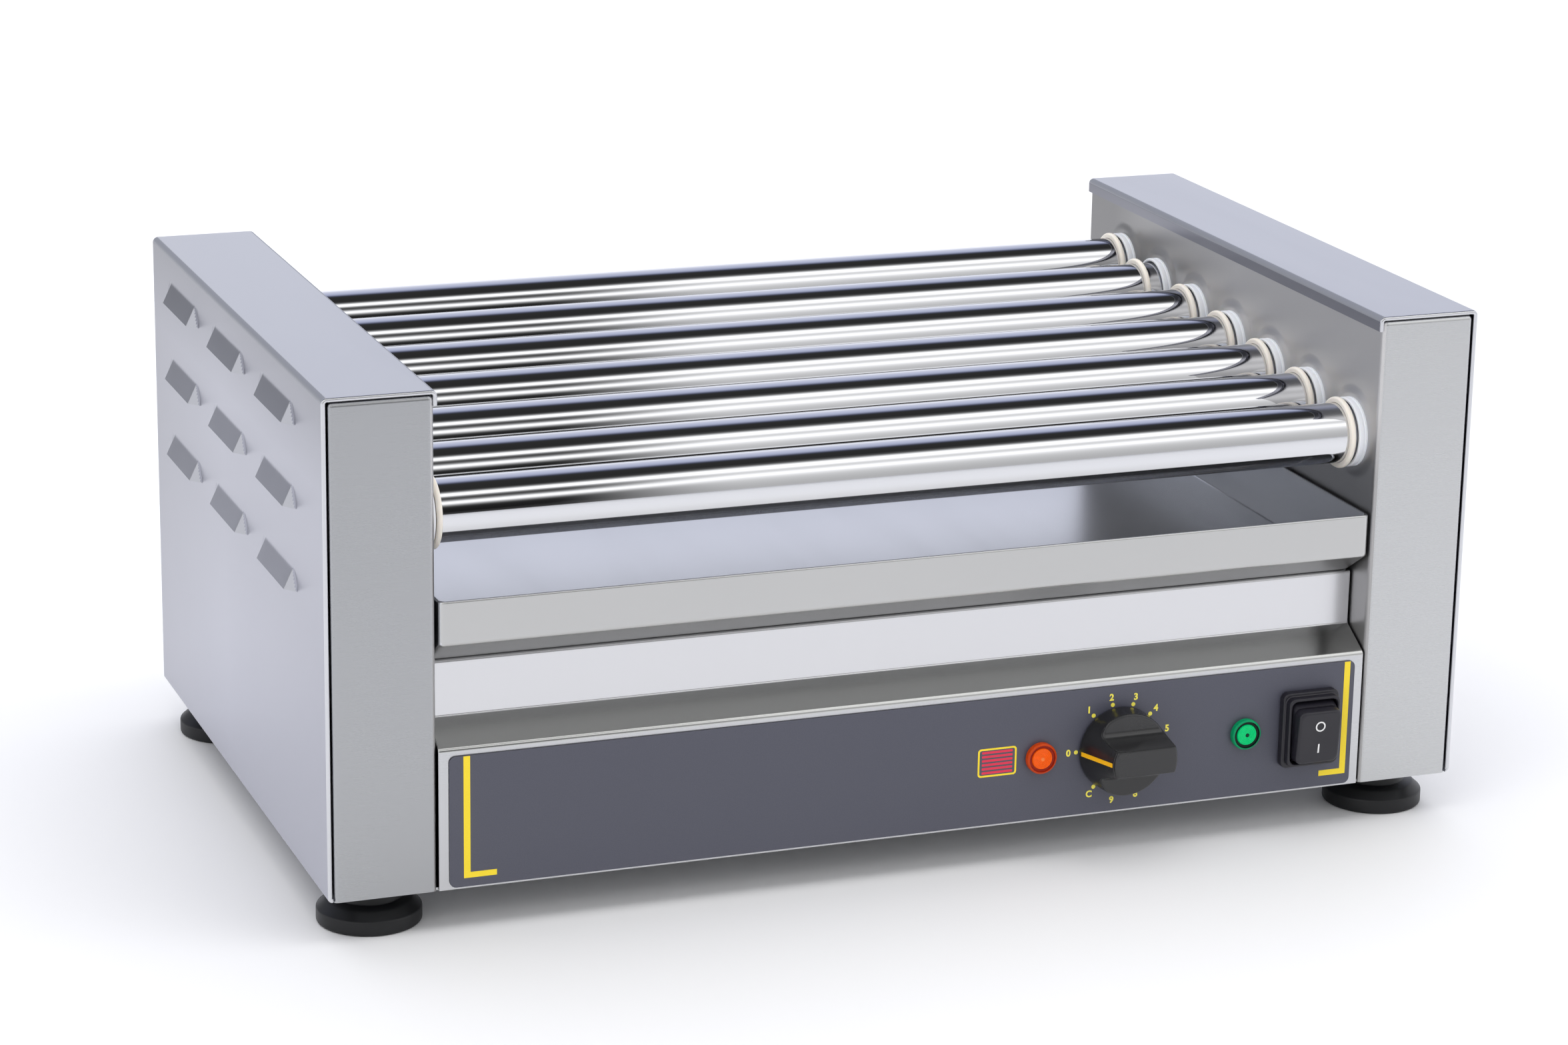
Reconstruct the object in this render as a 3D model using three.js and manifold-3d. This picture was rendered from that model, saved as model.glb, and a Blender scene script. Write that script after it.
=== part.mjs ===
// Hot dog roller grill: a counter-top machine with seven heated, chain-driven rollers
// between two side housings, a drip tray below them and a control console in front.
//
// Millimetres. X runs along the rollers, -Y is the front, +Z is up.
// The origin is on the table, under the middle of the machine's outer box.

import * as THREE from "three";
import { mergeVertices } from "three/addons/utils/BufferGeometryUtils.js";
import Module from "manifold-3d";

const wasm = await Module();
wasm.setup();

// ---------------------------------------------------------------- dimensions

const GAP = 0.3; // running and assembly gap between touching pieces
const SHEET = 1.2; // stainless sheet

// outer box of the casing
const HALF_W = 272.5; // outer skin of the side covers
const HALF_D = 160.2; // front and rear faces
const TOP = 244.4; // top of the side covers
const BASE = 20; // underside of the casing, foot height

// side housings
const WALL_X = 223.8; // inner wall, the face that looks at the rollers
const PANEL_X = 269.3; // outer edge of the front and rear panels
const PANEL_TOP = 242.5;
const LIP_X = 222.3; // short lip of the cover, hanging over the inner wall
const LIP_Z = 237.6;

// rollers: a bed that falls towards the front
const ROLLERS = 7;
const ROLLER_SIDES = 20;
const ROLLER_R = 14;
const ROLLER_BORE = 12.8;
const ROLLER_FRONT_Y = -137;
const ROLLER_FRONT_Z = 185;
const PITCH_Y = 42.05;
const PITCH_Z = 3.88;
const ROLLER_LEFT = -256;
const ROLLER_RIGHT = 240;

// bushes in the inner walls
const BUSH_SIDES = 14;
const BUSH_BORE = 14.7;
const BUSH_SLEEVE = 15.3;
const BUSH_FLANGE = 16.2;
const BUSH_FACE = 218.6;
const BUSH_TAIL = 229;

// heating elements and their end brackets
const HEATER_R = 5;
const HEATER_END = 266;
const BRACKET_X = 262;

// chain drive in the left housing
const DRIVE_X = -244; // plane of the sprockets
const ROLLER_TEETH = 14;
const DRIVE_TEETH = 12;
const CHAIN_PITCH = 8;
const SPROCKET_T = 2.4;
const PLATE_HALF = 2.3; // half height of a chain side plate
const DRIVE_Y = -8;
const DRIVE_Z = 72;
const SHAFT_R = 5;

// console
const CONSOLE_X = 222.6;
const CONSOLE_TOP = 84.5;
const BAND_Y = -143.4;
const BAND_FOOT = 94;
const SHELF_Z = 120;
const SHELF_END = -118;

// drip tray
const TRAY_X = 222;
const TRAY_FLOOR = 120.4;
const TRAY_TOP = 151;
const TRAY_REAR = 156;
const TRAY_T = 1;

// controls, on the faceplate
const PLATE_X = 218.5;
const PLATE_Z0 = 21;
const PLATE_Z1 = 81.2;
const PLATE_BACK = -160.5;
const PLATE_FRONT = -161.1;
const KNOB = [98.8, 51.3];
const KNOB_R = 19.3;
const KNOB_BACK = -161.6;
const KNOB_FRONT = -184.6;
const AMBER = [59.6, 51];
const GREEN = [162.6, 51.5];
const LAMP_R = 7.3;
const SWITCH = [194.5, 51.5];
const ROCKER_TILT = 5.5; // degrees either side of level
const ROCKER_PIVOT_Y = -163;

// rear
const GLAND = [170, 45];
const GLAND_END = 184.6;
const REAR_TOP = 152;

// feet
const FOOT = [247, 132];
const FOOT_R = 23.3;

// louvres pressed out of the covers, open at the bottom edge
const LOUVRE_Y = [-83.5, 6.5, 96];
const LOUVRE_Z = [230.5, 193.3, 156]; // top edges
const LOUVRE_L = 47.5;
const LOUVRE_H = 9.3;
const LOUVRE_OUT = 4.5;

// ------------------------------------------------------------------- helpers

const rad = (d) => (d * Math.PI) / 180;

// A closed geometry as a solid, facing out.
function solid(geometry) {
  const g = geometry.clone();
  g.deleteAttribute("normal");
  g.deleteAttribute("uv");
  const m = mergeVertices(g, 1e-4);
  const src = m.index.array;
  let tri = [];
  for (let i = 0; i < src.length; i += 3) {
    const [a, b, c] = [src[i], src[i + 1], src[i + 2]];
    if (a !== b && b !== c && c !== a) tri.push(a, b, c);
  }
  const build = (t) =>
    new wasm.Manifold(
      new wasm.Mesh({
        numProp: 3,
        vertProperties: new Float32Array(m.attributes.position.array),
        triVerts: new Uint32Array(t),
      }),
    );
  let made = build(tri);
  if (made.volume() < 0) {
    for (let i = 0; i < tri.length; i += 3)
      [tri[i + 1], tri[i + 2]] = [tri[i + 2], tri[i + 1]];
    made = build(tri);
  }
  return made;
}

// A solid back as a geometry with flat faces.
function geometryOf(s) {
  const m = s.getMesh();
  const v = new Float32Array(m.numVert * 3);
  for (let i = 0; i < m.numVert; i++)
    v.set(m.vertProperties.subarray(i * m.numProp, i * m.numProp + 3), i * 3);
  const g = new THREE.BufferGeometry();
  g.setAttribute("position", new THREE.BufferAttribute(v, 3));
  g.setIndex(new THREE.BufferAttribute(new Uint32Array(m.triVerts), 1));
  g.computeVertexNormals();
  return g;
}

// New axes for a geometry: x, y and z each take one of the old ones.
function axes(g, x, y, z) {
  const p = g.attributes.position;
  for (let i = 0; i < p.count; i++) {
    const o = [p.getX(i), p.getY(i), p.getZ(i)];
    p.setXYZ(i, o[x], o[y], o[z]);
  }
  return g;
}

const shapeOf = (pts) => new THREE.Shape(pts.map(([a, b]) => new THREE.Vector2(a, b)));

function prism(pts, length) {
  return new THREE.ExtrudeGeometry(shapeOf(pts), { depth: length, bevelEnabled: false });
}
// outline in (y, z), run along x
function alongX(pts, x0, x1) {
  const g = prism(pts, x1 - x0);
  g.translate(0, 0, x0);
  return solid(axes(g, 2, 0, 1));
}
// outline in (x, z), run along y
function alongY(pts, y0, y1) {
  const g = prism(pts, y1 - y0);
  g.translate(0, 0, y0);
  return solid(axes(g, 0, 2, 1));
}
// outline in (x, y), run along z
function alongZ(pts, z0, z1) {
  const g = prism(pts, z1 - z0);
  g.translate(0, 0, z0);
  return solid(g);
}
function box(x0, x1, y0, y1, z0, z1) {
  const g = new THREE.BoxGeometry(x1 - x0, y1 - y0, z1 - z0);
  g.translate((x0 + x1) / 2, (y0 + y1) / 2, (z0 + z1) / 2);
  return solid(g);
}
// A body of revolution from [radius, height] points, about the axis named.
function turned(profile, sides, axis, at, closed = false) {
  const pts = profile.map(([r, h]) => new THREE.Vector2(r, h));
  if (closed) pts.push(pts[0].clone());
  const g = new THREE.LatheGeometry(pts, sides);
  if (axis === "x") axes(g, 1, 0, 2);
  if (axis === "z") axes(g, 0, 2, 1);
  g.translate(...at);
  return solid(g);
}
const rod = (r, h0, h1, sides, axis, at) =>
  turned([[0, h0], [r, h0], [r, h1], [0, h1]], sides, axis, at);

// Section of a bent sheet: the outer surface as a path, its corners rounded,
// thickened to its left by t.
function bent(path, t, r, steps = 2) {
  const out = [];
  const unit = (a, b) => {
    const l = Math.hypot(b[0] - a[0], b[1] - a[1]);
    return [(b[0] - a[0]) / l, (b[1] - a[1]) / l];
  };
  const left = ([x, y]) => [-y, x];
  for (let i = 0; i < path.length; i++) {
    if (i === 0) {
      out.push([path[0], left(unit(path[0], path[1]))]);
      continue;
    }
    if (i === path.length - 1) {
      out.push([path[i], left(unit(path[i - 1], path[i]))]);
      continue;
    }
    const d0 = unit(path[i - 1], path[i]);
    const d1 = unit(path[i], path[i + 1]);
    const turn = Math.atan2(d0[0] * d1[1] - d0[1] * d1[0], d0[0] * d1[0] + d0[1] * d1[1]);
    // a bend that turns away from the thickness takes the smaller radius
    const rr = turn > 0 ? r : Math.max(r - t, 0.4);
    const cut = rr * Math.tan(Math.abs(turn) / 2);
    const start = [path[i][0] - d0[0] * cut, path[i][1] - d0[1] * cut];
    const n0 = left(d0);
    const s = Math.sign(turn);
    const c = [start[0] + n0[0] * rr * s, start[1] + n0[1] * rr * s];
    for (let k = 0; k <= steps; k++) {
      const a = (turn * k) / steps;
      const n = [
        n0[0] * Math.cos(a) - n0[1] * Math.sin(a),
        n0[0] * Math.sin(a) + n0[1] * Math.cos(a),
      ];
      out.push([[c[0] - n[0] * rr * s, c[1] - n[1] * rr * s], n]);
    }
  }
  return [
    ...out.map(([p]) => p),
    ...out.map(([p, n]) => [p[0] + n[0] * t, p[1] + n[1] * t]).reverse(),
  ];
}

// Rectangle with rounded corners, centred on (cx, cy).
function roundRect(cx, cy, hw, hh, r, steps = 2) {
  const pts = [];
  for (const [sx, sy, a0] of [[1, 1, 0], [-1, 1, 90], [-1, -1, 180], [1, -1, 270]])
    for (let k = 0; k <= steps; k++) {
      const a = rad(a0 + (90 * k) / steps);
      pts.push([cx + sx * (hw - r) + r * Math.cos(a), cy + sy * (hh - r) + r * Math.sin(a)]);
    }
  return pts;
}

const mirrorX = (s) => s.mirror([1, 0, 0]);

const rollerY = (i) => ROLLER_FRONT_Y + PITCH_Y * i;
const rollerZ = (i) => ROLLER_FRONT_Z + PITCH_Z * i;

// ----------------------------------------------------------------- materials

const mat = (color, roughness, metalness) =>
  new THREE.MeshStandardMaterial({ color, roughness, metalness });
const STEEL = mat(0xb9b9bd, 0.34, 1);
const COVER = mat(0xaeb0b8, 0.38, 1);
const CHROME = mat(0xe6e8ec, 0.06, 1);
const TRAY = mat(0xd4d6dc, 0.28, 1);
const PLATE = mat(0x55565f, 0.45, 0);
const BLACK = mat(0x141414, 0.42, 0);
const RUBBER = mat(0x202124, 0.75, 0);
const PTFE = mat(0xe8ecf2, 0.4, 0);
const AMBER_LENS = mat(0xff5a14, 0.2, 0);
const GREEN_LENS = mat(0x00c060, 0.2, 0);
const IRON = mat(0x4a4c50, 0.5, 1);
const ALLOY = mat(0x8f9296, 0.45, 1);
const SHEATH = mat(0x77706a, 0.45, 1);

const grill = new THREE.Group();
grill.name = "hot_dog_roller_grill";

function add(name, s, material) {
  const m = new THREE.Mesh(geometryOf(s), material);
  m.name = name;
  grill.add(m);
}

// ------------------------------------------------------------------ the base

{
  const lim = 262.5;
  let pan = box(-lim, lim, -158.6, 158.6, BASE, BASE + SHEET);
  // clear of the housings' panel flanges, with a hole for each foot's stud
  for (const sx of [-1, 1])
    for (const sy of [-1, 1])
      pan = pan.subtract(rod(4.7, BASE - 1, BASE + 3, 12, "z", [sx * FOOT[0], sy * FOOT[1], 0]));
  add("base_pan", pan, STEEL);
}

for (const [side, sx] of [["left", -1], ["right", 1]])
  for (const [end, sy] of [["front", -1], ["rear", 1]]) {
    const foot = turned(
      [
        [0, 0], [FOOT_R - 1.2, 0], [FOOT_R, 1.4], [FOOT_R, 7], [FOOT_R - 4, 10.4],
        [14.4, 11.4], [13.8, BASE - GAP], [4.2, BASE - GAP], [4.2, 32], [0, 32],
      ],
      16, "z", [sx * FOOT[0], sy * FOOT[1], 0],
    );
    add(`foot_${end}_${side}`, foot, RUBBER);
  }

// --------------------------------------------------------------- the housings

function sideFrame() {
  // built for the right side: a U in plan, open at the cover's side
  const path = [
    [PANEL_X, -146], [PANEL_X, -HALF_D], [WALL_X, -HALF_D],
    [WALL_X, HALF_D], [PANEL_X, HALF_D], [PANEL_X, 146],
  ];
  // walked with the thickness on its right, so the path is run backwards
  let s = alongZ(bent(path.slice().reverse(), SHEET, 2.6).map((p) => p), BASE, PANEL_TOP);
  s = s.subtract(box(200, 262.9, -158.95, 158.95, BASE - 1, BASE + SHEET + GAP));
  for (let i = 0; i < ROLLERS; i++)
    s = s.subtract(
      rod(BUSH_SLEEVE + 0.35, WALL_X - 3, WALL_X + 5, BUSH_SIDES, "x", [0, rollerY(i), rollerZ(i)]),
    );
  return s;
}
{
  const right = sideFrame();
  let left = mirrorX(right);
  left = left.subtract(rod(13, -230, -218, 16, "x", [0, DRIVE_Y, DRIVE_Z])); // motor shaft
  add("left_side_frame", left, STEEL);
  add("right_side_frame", right, STEEL);
}

function sideCover() {
  // section in (x, z): bottom return, outer side, top, short inner lip
  const path = [
    [264, BASE], [HALF_W, BASE], [HALF_W, TOP], [LIP_X, TOP], [LIP_X, LIP_Z],
  ];
  let s = alongY(bent(path, SHEET, 2.2), -HALF_D, HALF_D);
  // the bottom return is cut back at both ends
  for (const sy of [-1, 1])
    s = s.subtract(
      sy < 0
        ? box(240, HALF_W - SHEET - 0.6, -HALF_D - 1, -144, BASE - 1, BASE + 4)
        : box(240, HALF_W - SHEET - 0.6, 144, HALF_D + 1, BASE - 1, BASE + 4),
    );
  for (const y of LOUVRE_Y)
    for (const z of LOUVRE_Z) {
      const y0 = y - LOUVRE_L / 2, y1 = y + LOUVRE_L / 2, zb = z - LOUVRE_H;
      const x = HALF_W, o = LOUVRE_OUT, w = 0.9;
      const hood = (a, b, out, zt, zl, dx) =>
        alongY([[x - dx, zt], [x - dx, zl], [x + out, zl], [x + out, zl + 1.2], [x, zt]], a, b);
      s = s.add(hood(y0, y1, o, z, zb, 0.6));
      s = s.subtract(
        alongY(
          [[x - 3, z - 2.6], [x - 3, zb - 1], [x + o - w, zb - 1], [x + o - w, zb + 0.6], [x - 0.4, z - 2.6]],
          y0 + w, y1 - w,
        ).subtract(box(x - 4, x + 0.01, y0, y1, zb - 2, zb)),
      );
    }
  return s;
}
{
  const right = sideCover();
  add("left_cover", mirrorX(right), COVER);
  add("right_cover", right, COVER);
}

// --------------------------------------------------------- console and panels

{
  const path = [
    [SHELF_END, SHELF_Z], [BAND_Y, SHELF_Z], [BAND_Y, BAND_FOOT],
    [-HALF_D, CONSOLE_TOP], [-HALF_D, BASE],
  ];
  let s = alongX(bent(path, SHEET, 2.0), -CONSOLE_X, CONSOLE_X);
  s = s.subtract(rod(5.5, -165, -150, 12, "y", [KNOB[0], 0, KNOB[1]]));
  s = s.subtract(rod(6.4, -165, -150, 12, "y", [AMBER[0], 0, AMBER[1]]));
  s = s.subtract(rod(6.4, -165, -150, 12, "y", [GREEN[0], 0, GREEN[1]]));
  s = s.subtract(box(SWITCH[0] - 13, SWITCH[0] + 13, -165, -150, SWITCH[1] - 16.6, SWITCH[1] + 16.6));
  add("front_fascia", s, STEEL);
}
{
  let s = alongY(
    roundRect(0, (PLATE_Z0 + PLATE_Z1) / 2, PLATE_X, (PLATE_Z1 - PLATE_Z0) / 2, 3),
    PLATE_FRONT, PLATE_BACK,
  );
  s = s.subtract(rod(5.5, -165, -150, 12, "y", [KNOB[0], 0, KNOB[1]]));
  s = s.subtract(rod(6.4, -165, -150, 12, "y", [AMBER[0], 0, AMBER[1]]));
  s = s.subtract(rod(6.4, -165, -150, 12, "y", [GREEN[0], 0, GREEN[1]]));
  s = s.subtract(box(SWITCH[0] - 13, SWITCH[0] + 13, -165, -150, SWITCH[1] - 16.6, SWITCH[1] + 16.6));
  add("control_faceplate", s, PLATE);
}
{
  // rear wall with the deck that the drip tray slides on
  let s = box(-CONSOLE_X, CONSOLE_X, HALF_D - SHEET, HALF_D, BASE, REAR_TOP).add(
    box(-CONSOLE_X, CONSOLE_X, SHELF_END + 1, HALF_D - 0.5, SHELF_Z - SHEET, SHELF_Z),
  );
  s = s.subtract(rod(7.5, 150, 170, 12, "y", [GLAND[0], 0, GLAND[1]]));
  add("rear_panel", s, STEEL);
}
{
  // cable gland, open through for the mains lead
  const s = turned(
    [
      [4, 148], [7, 148], [7, HALF_D + GAP], [11, HALF_D + GAP], [11, 165.5],
      [9, 166.5], [9, 176], [7, GLAND_END], [4, GLAND_END],
    ],
    12, "y", [GLAND[0], 0, GLAND[1]], true,
  );
  add("cable_gland", s, BLACK);
}

// ------------------------------------------------------------------ drip tray

{
  const t = TRAY_T;
  const outer = [
    [BAND_Y - 0.6, TRAY_FLOOR], [-HALF_D, 131.3], [-HALF_D, TRAY_TOP],
    [TRAY_REAR, TRAY_TOP], [TRAY_REAR, TRAY_FLOOR],
  ];
  const inner = [
    [BAND_Y - 0.3, TRAY_FLOOR + t], [-HALF_D + t, 131.9], [-HALF_D + t, TRAY_TOP + 5],
    [TRAY_REAR - t, TRAY_TOP + 5], [TRAY_REAR - t, TRAY_FLOOR + t],
  ];
  const s = alongX(outer, -TRAY_X, TRAY_X).subtract(alongX(inner, -TRAY_X + t, TRAY_X - t));
  add("drip_tray", s, TRAY);
}

// ----------------------------------------------------- rollers and their drive

// Toothed wheel in the plane across X, with a hub on its inner side.
function sprocket(teeth, bore, hub, phase, cy, cz) {
  const pr = CHAIN_PITCH / 2 / Math.sin(Math.PI / teeth);
  const root = pr - 2.3, tip = pr + 1.6;
  const pts = [];
  for (let i = 0; i < teeth; i++) {
    const a = (2 * Math.PI * (i + phase)) / teeth, w = (2 * Math.PI) / teeth;
    pts.push([cy + tip * Math.cos(a - 0.1 * w), cz + tip * Math.sin(a - 0.1 * w)]);
    pts.push([cy + tip * Math.cos(a + 0.1 * w), cz + tip * Math.sin(a + 0.1 * w)]);
    pts.push([cy + root * Math.cos(a + 0.33 * w), cz + root * Math.sin(a + 0.33 * w)]);
    pts.push([cy + root * Math.cos(a + 0.67 * w), cz + root * Math.sin(a + 0.67 * w)]);
  }
  let s = alongX(pts, DRIVE_X - SPROCKET_T / 2, DRIVE_X + SPROCKET_T / 2);
  s = s.add(rod(hub, DRIVE_X - 1, DRIVE_X + 7, ROLLER_SIDES, "x", [0, cy, cz]));
  if (bore) s = s.subtract(rod(bore, DRIVE_X - 10, DRIVE_X + 12, ROLLER_SIDES, "x", [0, cy, cz]));
  return s;
}

for (let i = 0; i < ROLLERS; i++) {
  const n = i + 1, y = rollerY(i), z = rollerZ(i), at = [0, y, z];
  add(
    `roller_${n}`,
    turned(
      [
        [ROLLER_BORE, ROLLER_LEFT], [ROLLER_R, ROLLER_LEFT],
        [ROLLER_R, ROLLER_RIGHT], [ROLLER_BORE, ROLLER_RIGHT],
      ],
      ROLLER_SIDES, "x", at, true,
    ),
    CHROME,
  );
  add(`sprocket_${n}`, sprocket(ROLLER_TEETH, ROLLER_R + GAP, 15.3, 0.5, y, z), IRON);
  for (const [side, sx] of [["left", -1], ["right", 1]]) {
    let bush = turned(
      [
        [BUSH_BORE, BUSH_FACE], [BUSH_FLANGE, BUSH_FACE], [BUSH_FLANGE, WALL_X - GAP],
        [BUSH_SLEEVE, WALL_X - GAP], [BUSH_SLEEVE, BUSH_TAIL], [BUSH_BORE, BUSH_TAIL],
      ],
      BUSH_SIDES, "x", at, true,
    );
    if (sx < 0) bush = mirrorX(bush);
    add(`bush_${side}_${n}`, bush, PTFE);
  }
  add(`heater_${n}`, rod(HEATER_R, -HEATER_END, HEATER_END, 8, "x", at), SHEATH);
}

// brackets that hold the ends of the heating elements inside the housings
for (const [side, sx] of [["left", -1], ["right", 1]]) {
  const path = [
    [BRACKET_X - 14, -158.6], [BRACKET_X, -158.6], [BRACKET_X, 158.6], [BRACKET_X - 14, 158.6],
  ];
  let s = alongZ(bent(path, SHEET, 1.8, 1), 172, 222);
  for (let i = 0; i < ROLLERS; i++)
    s = s.subtract(rod(HEATER_R + 0.4, 255, 268, 8, "x", [0, rollerY(i), rollerZ(i)]));
  if (sx < 0) s = mirrorX(s);
  add(`heater_bracket_${side}`, s, STEEL);
}

// output shaft and its sprocket, driven by the gear motor
{
  const s = sprocket(DRIVE_TEETH, 0, 10, 0.5, DRIVE_Y, DRIVE_Z).add(
    rod(SHAFT_R, DRIVE_X - 6, -210, 12, "x", [0, DRIVE_Y, DRIVE_Z]),
  );
  add("drive_sprocket", s, IRON);
}
{
  const y = DRIVE_Y, z = DRIVE_Z;
  let s = box(-221, -168, y - 36, y + 36, z - 34, z + 34)
    .add(rod(29, -169, -92, 18, "x", [0, y, z]))
    .add(box(-219, -110, y - 24, y + 24, BASE + SHEET + GAP, z - 20));
  s = s.subtract(rod(SHAFT_R + 0.6, -225, -206, 12, "x", [0, y, z]));
  add("gear_motor", s, ALLOY);
}

// The chain runs over all the roller sprockets, round the rear one, down to the
// drive sprocket and back up to the front one. Its side plates straddle the teeth.
{
  const pr = CHAIN_PITCH / 2 / Math.sin(Math.PI / ROLLER_TEETH);
  const dr = CHAIN_PITCH / 2 / Math.sin(Math.PI / DRIVE_TEETH);
  const wheels = [
    [rollerY(0), rollerZ(0), pr],
    [DRIVE_Y, DRIVE_Z, dr],
    [rollerY(ROLLERS - 1), rollerZ(ROLLERS - 1), pr],
  ];
  // outer tangents of circles taken anticlockwise in (y, z)
  const touch = (a, b) => {
    const d = Math.hypot(b[0] - a[0], b[1] - a[1]);
    const th = Math.atan2(b[1] - a[1], b[0] - a[0]);
    return th - Math.acos((a[2] - b[2]) / d); // angle of both normals
  };
  const n = [0, 1, 2].map((i) => touch(wheels[i], wheels[(i + 1) % 3]));
  const outline = (extra) => {
    const pts = [];
    for (let i = 0; i < 3; i++) {
      const [cy, cz, r] = wheels[i];
      let a0 = n[(i + 2) % 3], a1 = n[i];
      while (a1 < a0) a1 += 2 * Math.PI;
      const steps = 11;
      for (let k = 0; k <= steps; k++) {
        const a = a0 + ((a1 - a0) * k) / steps;
        pts.push([cy + (r + extra) * Math.cos(a), cz + (r + extra) * Math.sin(a)]);
      }
    }
    return pts;
  };
  const plate = (x) =>
    alongX(outline(PLATE_HALF), x, x + 1).subtract(alongX(outline(-PLATE_HALF), x - 1, x + 2));
  let s = plate(DRIVE_X - SPROCKET_T / 2 - 1.4).add(plate(DRIVE_X + SPROCKET_T / 2 + 0.4));
  // pins where the run is clear of every wheel's teeth
  const all = [...Array(ROLLERS).keys()].map((i) => [rollerY(i), rollerZ(i), pr + 1.6]);
  all.push([DRIVE_Y, DRIVE_Z, dr + 1.6]);
  for (let i = 0; i < 3; i++) {
    const a = wheels[i], b = wheels[(i + 1) % 3];
    const p = [a[0] + a[2] * Math.cos(n[i]), a[1] + a[2] * Math.sin(n[i])];
    const q = [b[0] + b[2] * Math.cos(n[i]), b[1] + b[2] * Math.sin(n[i])];
    const len = Math.hypot(q[0] - p[0], q[1] - p[1]);
    const count = Math.round(len / (3 * CHAIN_PITCH));
    for (let k = 0; k <= count; k++) {
      const y = p[0] + ((q[0] - p[0]) * k) / count, z = p[1] + ((q[1] - p[1]) * k) / count;
      if (all.every(([cy, cz, r]) => Math.hypot(y - cy, z - cz) > r + 2.2))
        s = s.add(rod(1.4, DRIVE_X - 2.4, DRIVE_X + 2.4, 5, "x", [0, y, z]));
    }
  }
  add("drive_chain", s, IRON);
}

// ------------------------------------------------------------------- controls

{
  // energy regulator behind the console, its threaded neck through the faceplate
  const [x, z] = KNOB;
  let s = box(x - 20, x + 20, -156, -124, z - 20, z + 20).add(
    rod(5, -165.5, -150, 12, "y", [x, 0, z]),
  );
  s = s.subtract(rod(3.6, -170, -136, 12, "y", [x, 0, z]));
  add("energy_regulator", s, BLACK);
}
{
  // knob: a skirt with a grip bar across it, moulded on its spindle
  const [x, z] = KNOB;
  let s = turned(
    [
      [0, KNOB_FRONT], [KNOB_R - 3.4, KNOB_FRONT], [KNOB_R - 1.6, KNOB_FRONT + 1.2],
      [KNOB_R, KNOB_BACK - 3], [KNOB_R, KNOB_BACK], [0, KNOB_BACK],
    ],
    32, "y", [x, 0, z],
  );
  // the two scoops, above and below the bar
  for (const sz of [-1, 1]) {
    const cut = alongX(
      [
        [KNOB_FRONT - 1, z + sz * 6.2], [KNOB_BACK - 7, z + sz * 7.6],
        [KNOB_BACK - 5, z + sz * 10], [KNOB_BACK - 5, z + sz * 25], [KNOB_FRONT - 1, z + sz * 25],
      ],
      x - 10, x + 25,
    );
    s = s.subtract(cut);
  }
  // the pointer's end slopes down to the skirt
  s = s.subtract(
    alongY(
      [[0, -25], [0, 25], [14, 25], [14, -25]].map(([a, b]) => [x - 14 - a, z + b]),
      KNOB_FRONT - 1, KNOB_FRONT,
    ),
  );
  s = s.subtract(
    solid(
      axes(
        prism([[x - 11.5, KNOB_FRONT - 1], [x - 25, KNOB_FRONT - 1], [x - 25, KNOB_BACK + 1], [x - 19.6, KNOB_BACK - 2.4]], 50)
          .translate(0, 0, z - 25),
        0, 1, 2,
      ),
    ),
  );
  s = s.subtract(rod(7, KNOB_BACK - 5.5, KNOB_BACK + 1, 12, "y", [x, 0, z]));
  s = s.add(rod(3, KNOB_BACK - 7, -142, 12, "y", [x, 0, z]));
  add("control_knob", s, BLACK);
}
for (const [name, at, m] of [["pilot_lamp_amber", AMBER, AMBER_LENS], ["pilot_lamp_green", GREEN, GREEN_LENS]]) {
  const s = turned(
    [
      [0, -164.9], [4.6, -164.7], [LAMP_R - 0.8, -164], [LAMP_R, -163], [LAMP_R, PLATE_FRONT - GAP],
      [6, PLATE_FRONT - GAP], [6, -136], [0, -136],
    ],
    16, "y", [at[0], 0, at[1]],
  );
  add(name, s, m);
}
{
  // switch: stepped skirt of the rubber boot and the switch's own box behind it
  const [x, z] = SWITCH;
  const front = PLATE_FRONT - GAP;
  let s = alongY(roundRect(x, z, 14.3, 18.2, 2), -165.6, front)
    .add(alongY(roundRect(x, z, 13.1, 16.6, 1.6), -169.4, -165))
    .add(box(x - 12.6, x + 12.6, front - 1, -128, z - 16.2, z + 16.2));
  s = s.subtract(box(x - 11.5, x + 11.5, -175, -156, z - 15, z + 15));
  add("switch_body", s, RUBBER);
}
{
  const [x, z] = SWITCH;
  const c = Math.cos(rad(ROCKER_TILT)), k = Math.sin(rad(ROCKER_TILT));
  // tilted so that its lower half is pressed in
  const at = (y, h) => [ROCKER_PIVOT_Y + y * c - h * k, z + y * k + h * c];
  const s = alongX(
    [at(-12, -13), at(-12, 13), at(-8, 13.4), at(3, 12), at(3, -12), at(-8, -13.4)],
    x - 11, x + 11,
  );
  add("switch_rocker", s, RUBBER);
}

export default grill;
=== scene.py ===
"""Looks of the hot dog roller grill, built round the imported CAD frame. Lengths in this file are in
millimetres in the row frame until a mesh is made, and metres after that."""
import math

import bmesh
import bpy
import numpy as np
from mathutils import Matrix, Vector


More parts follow.
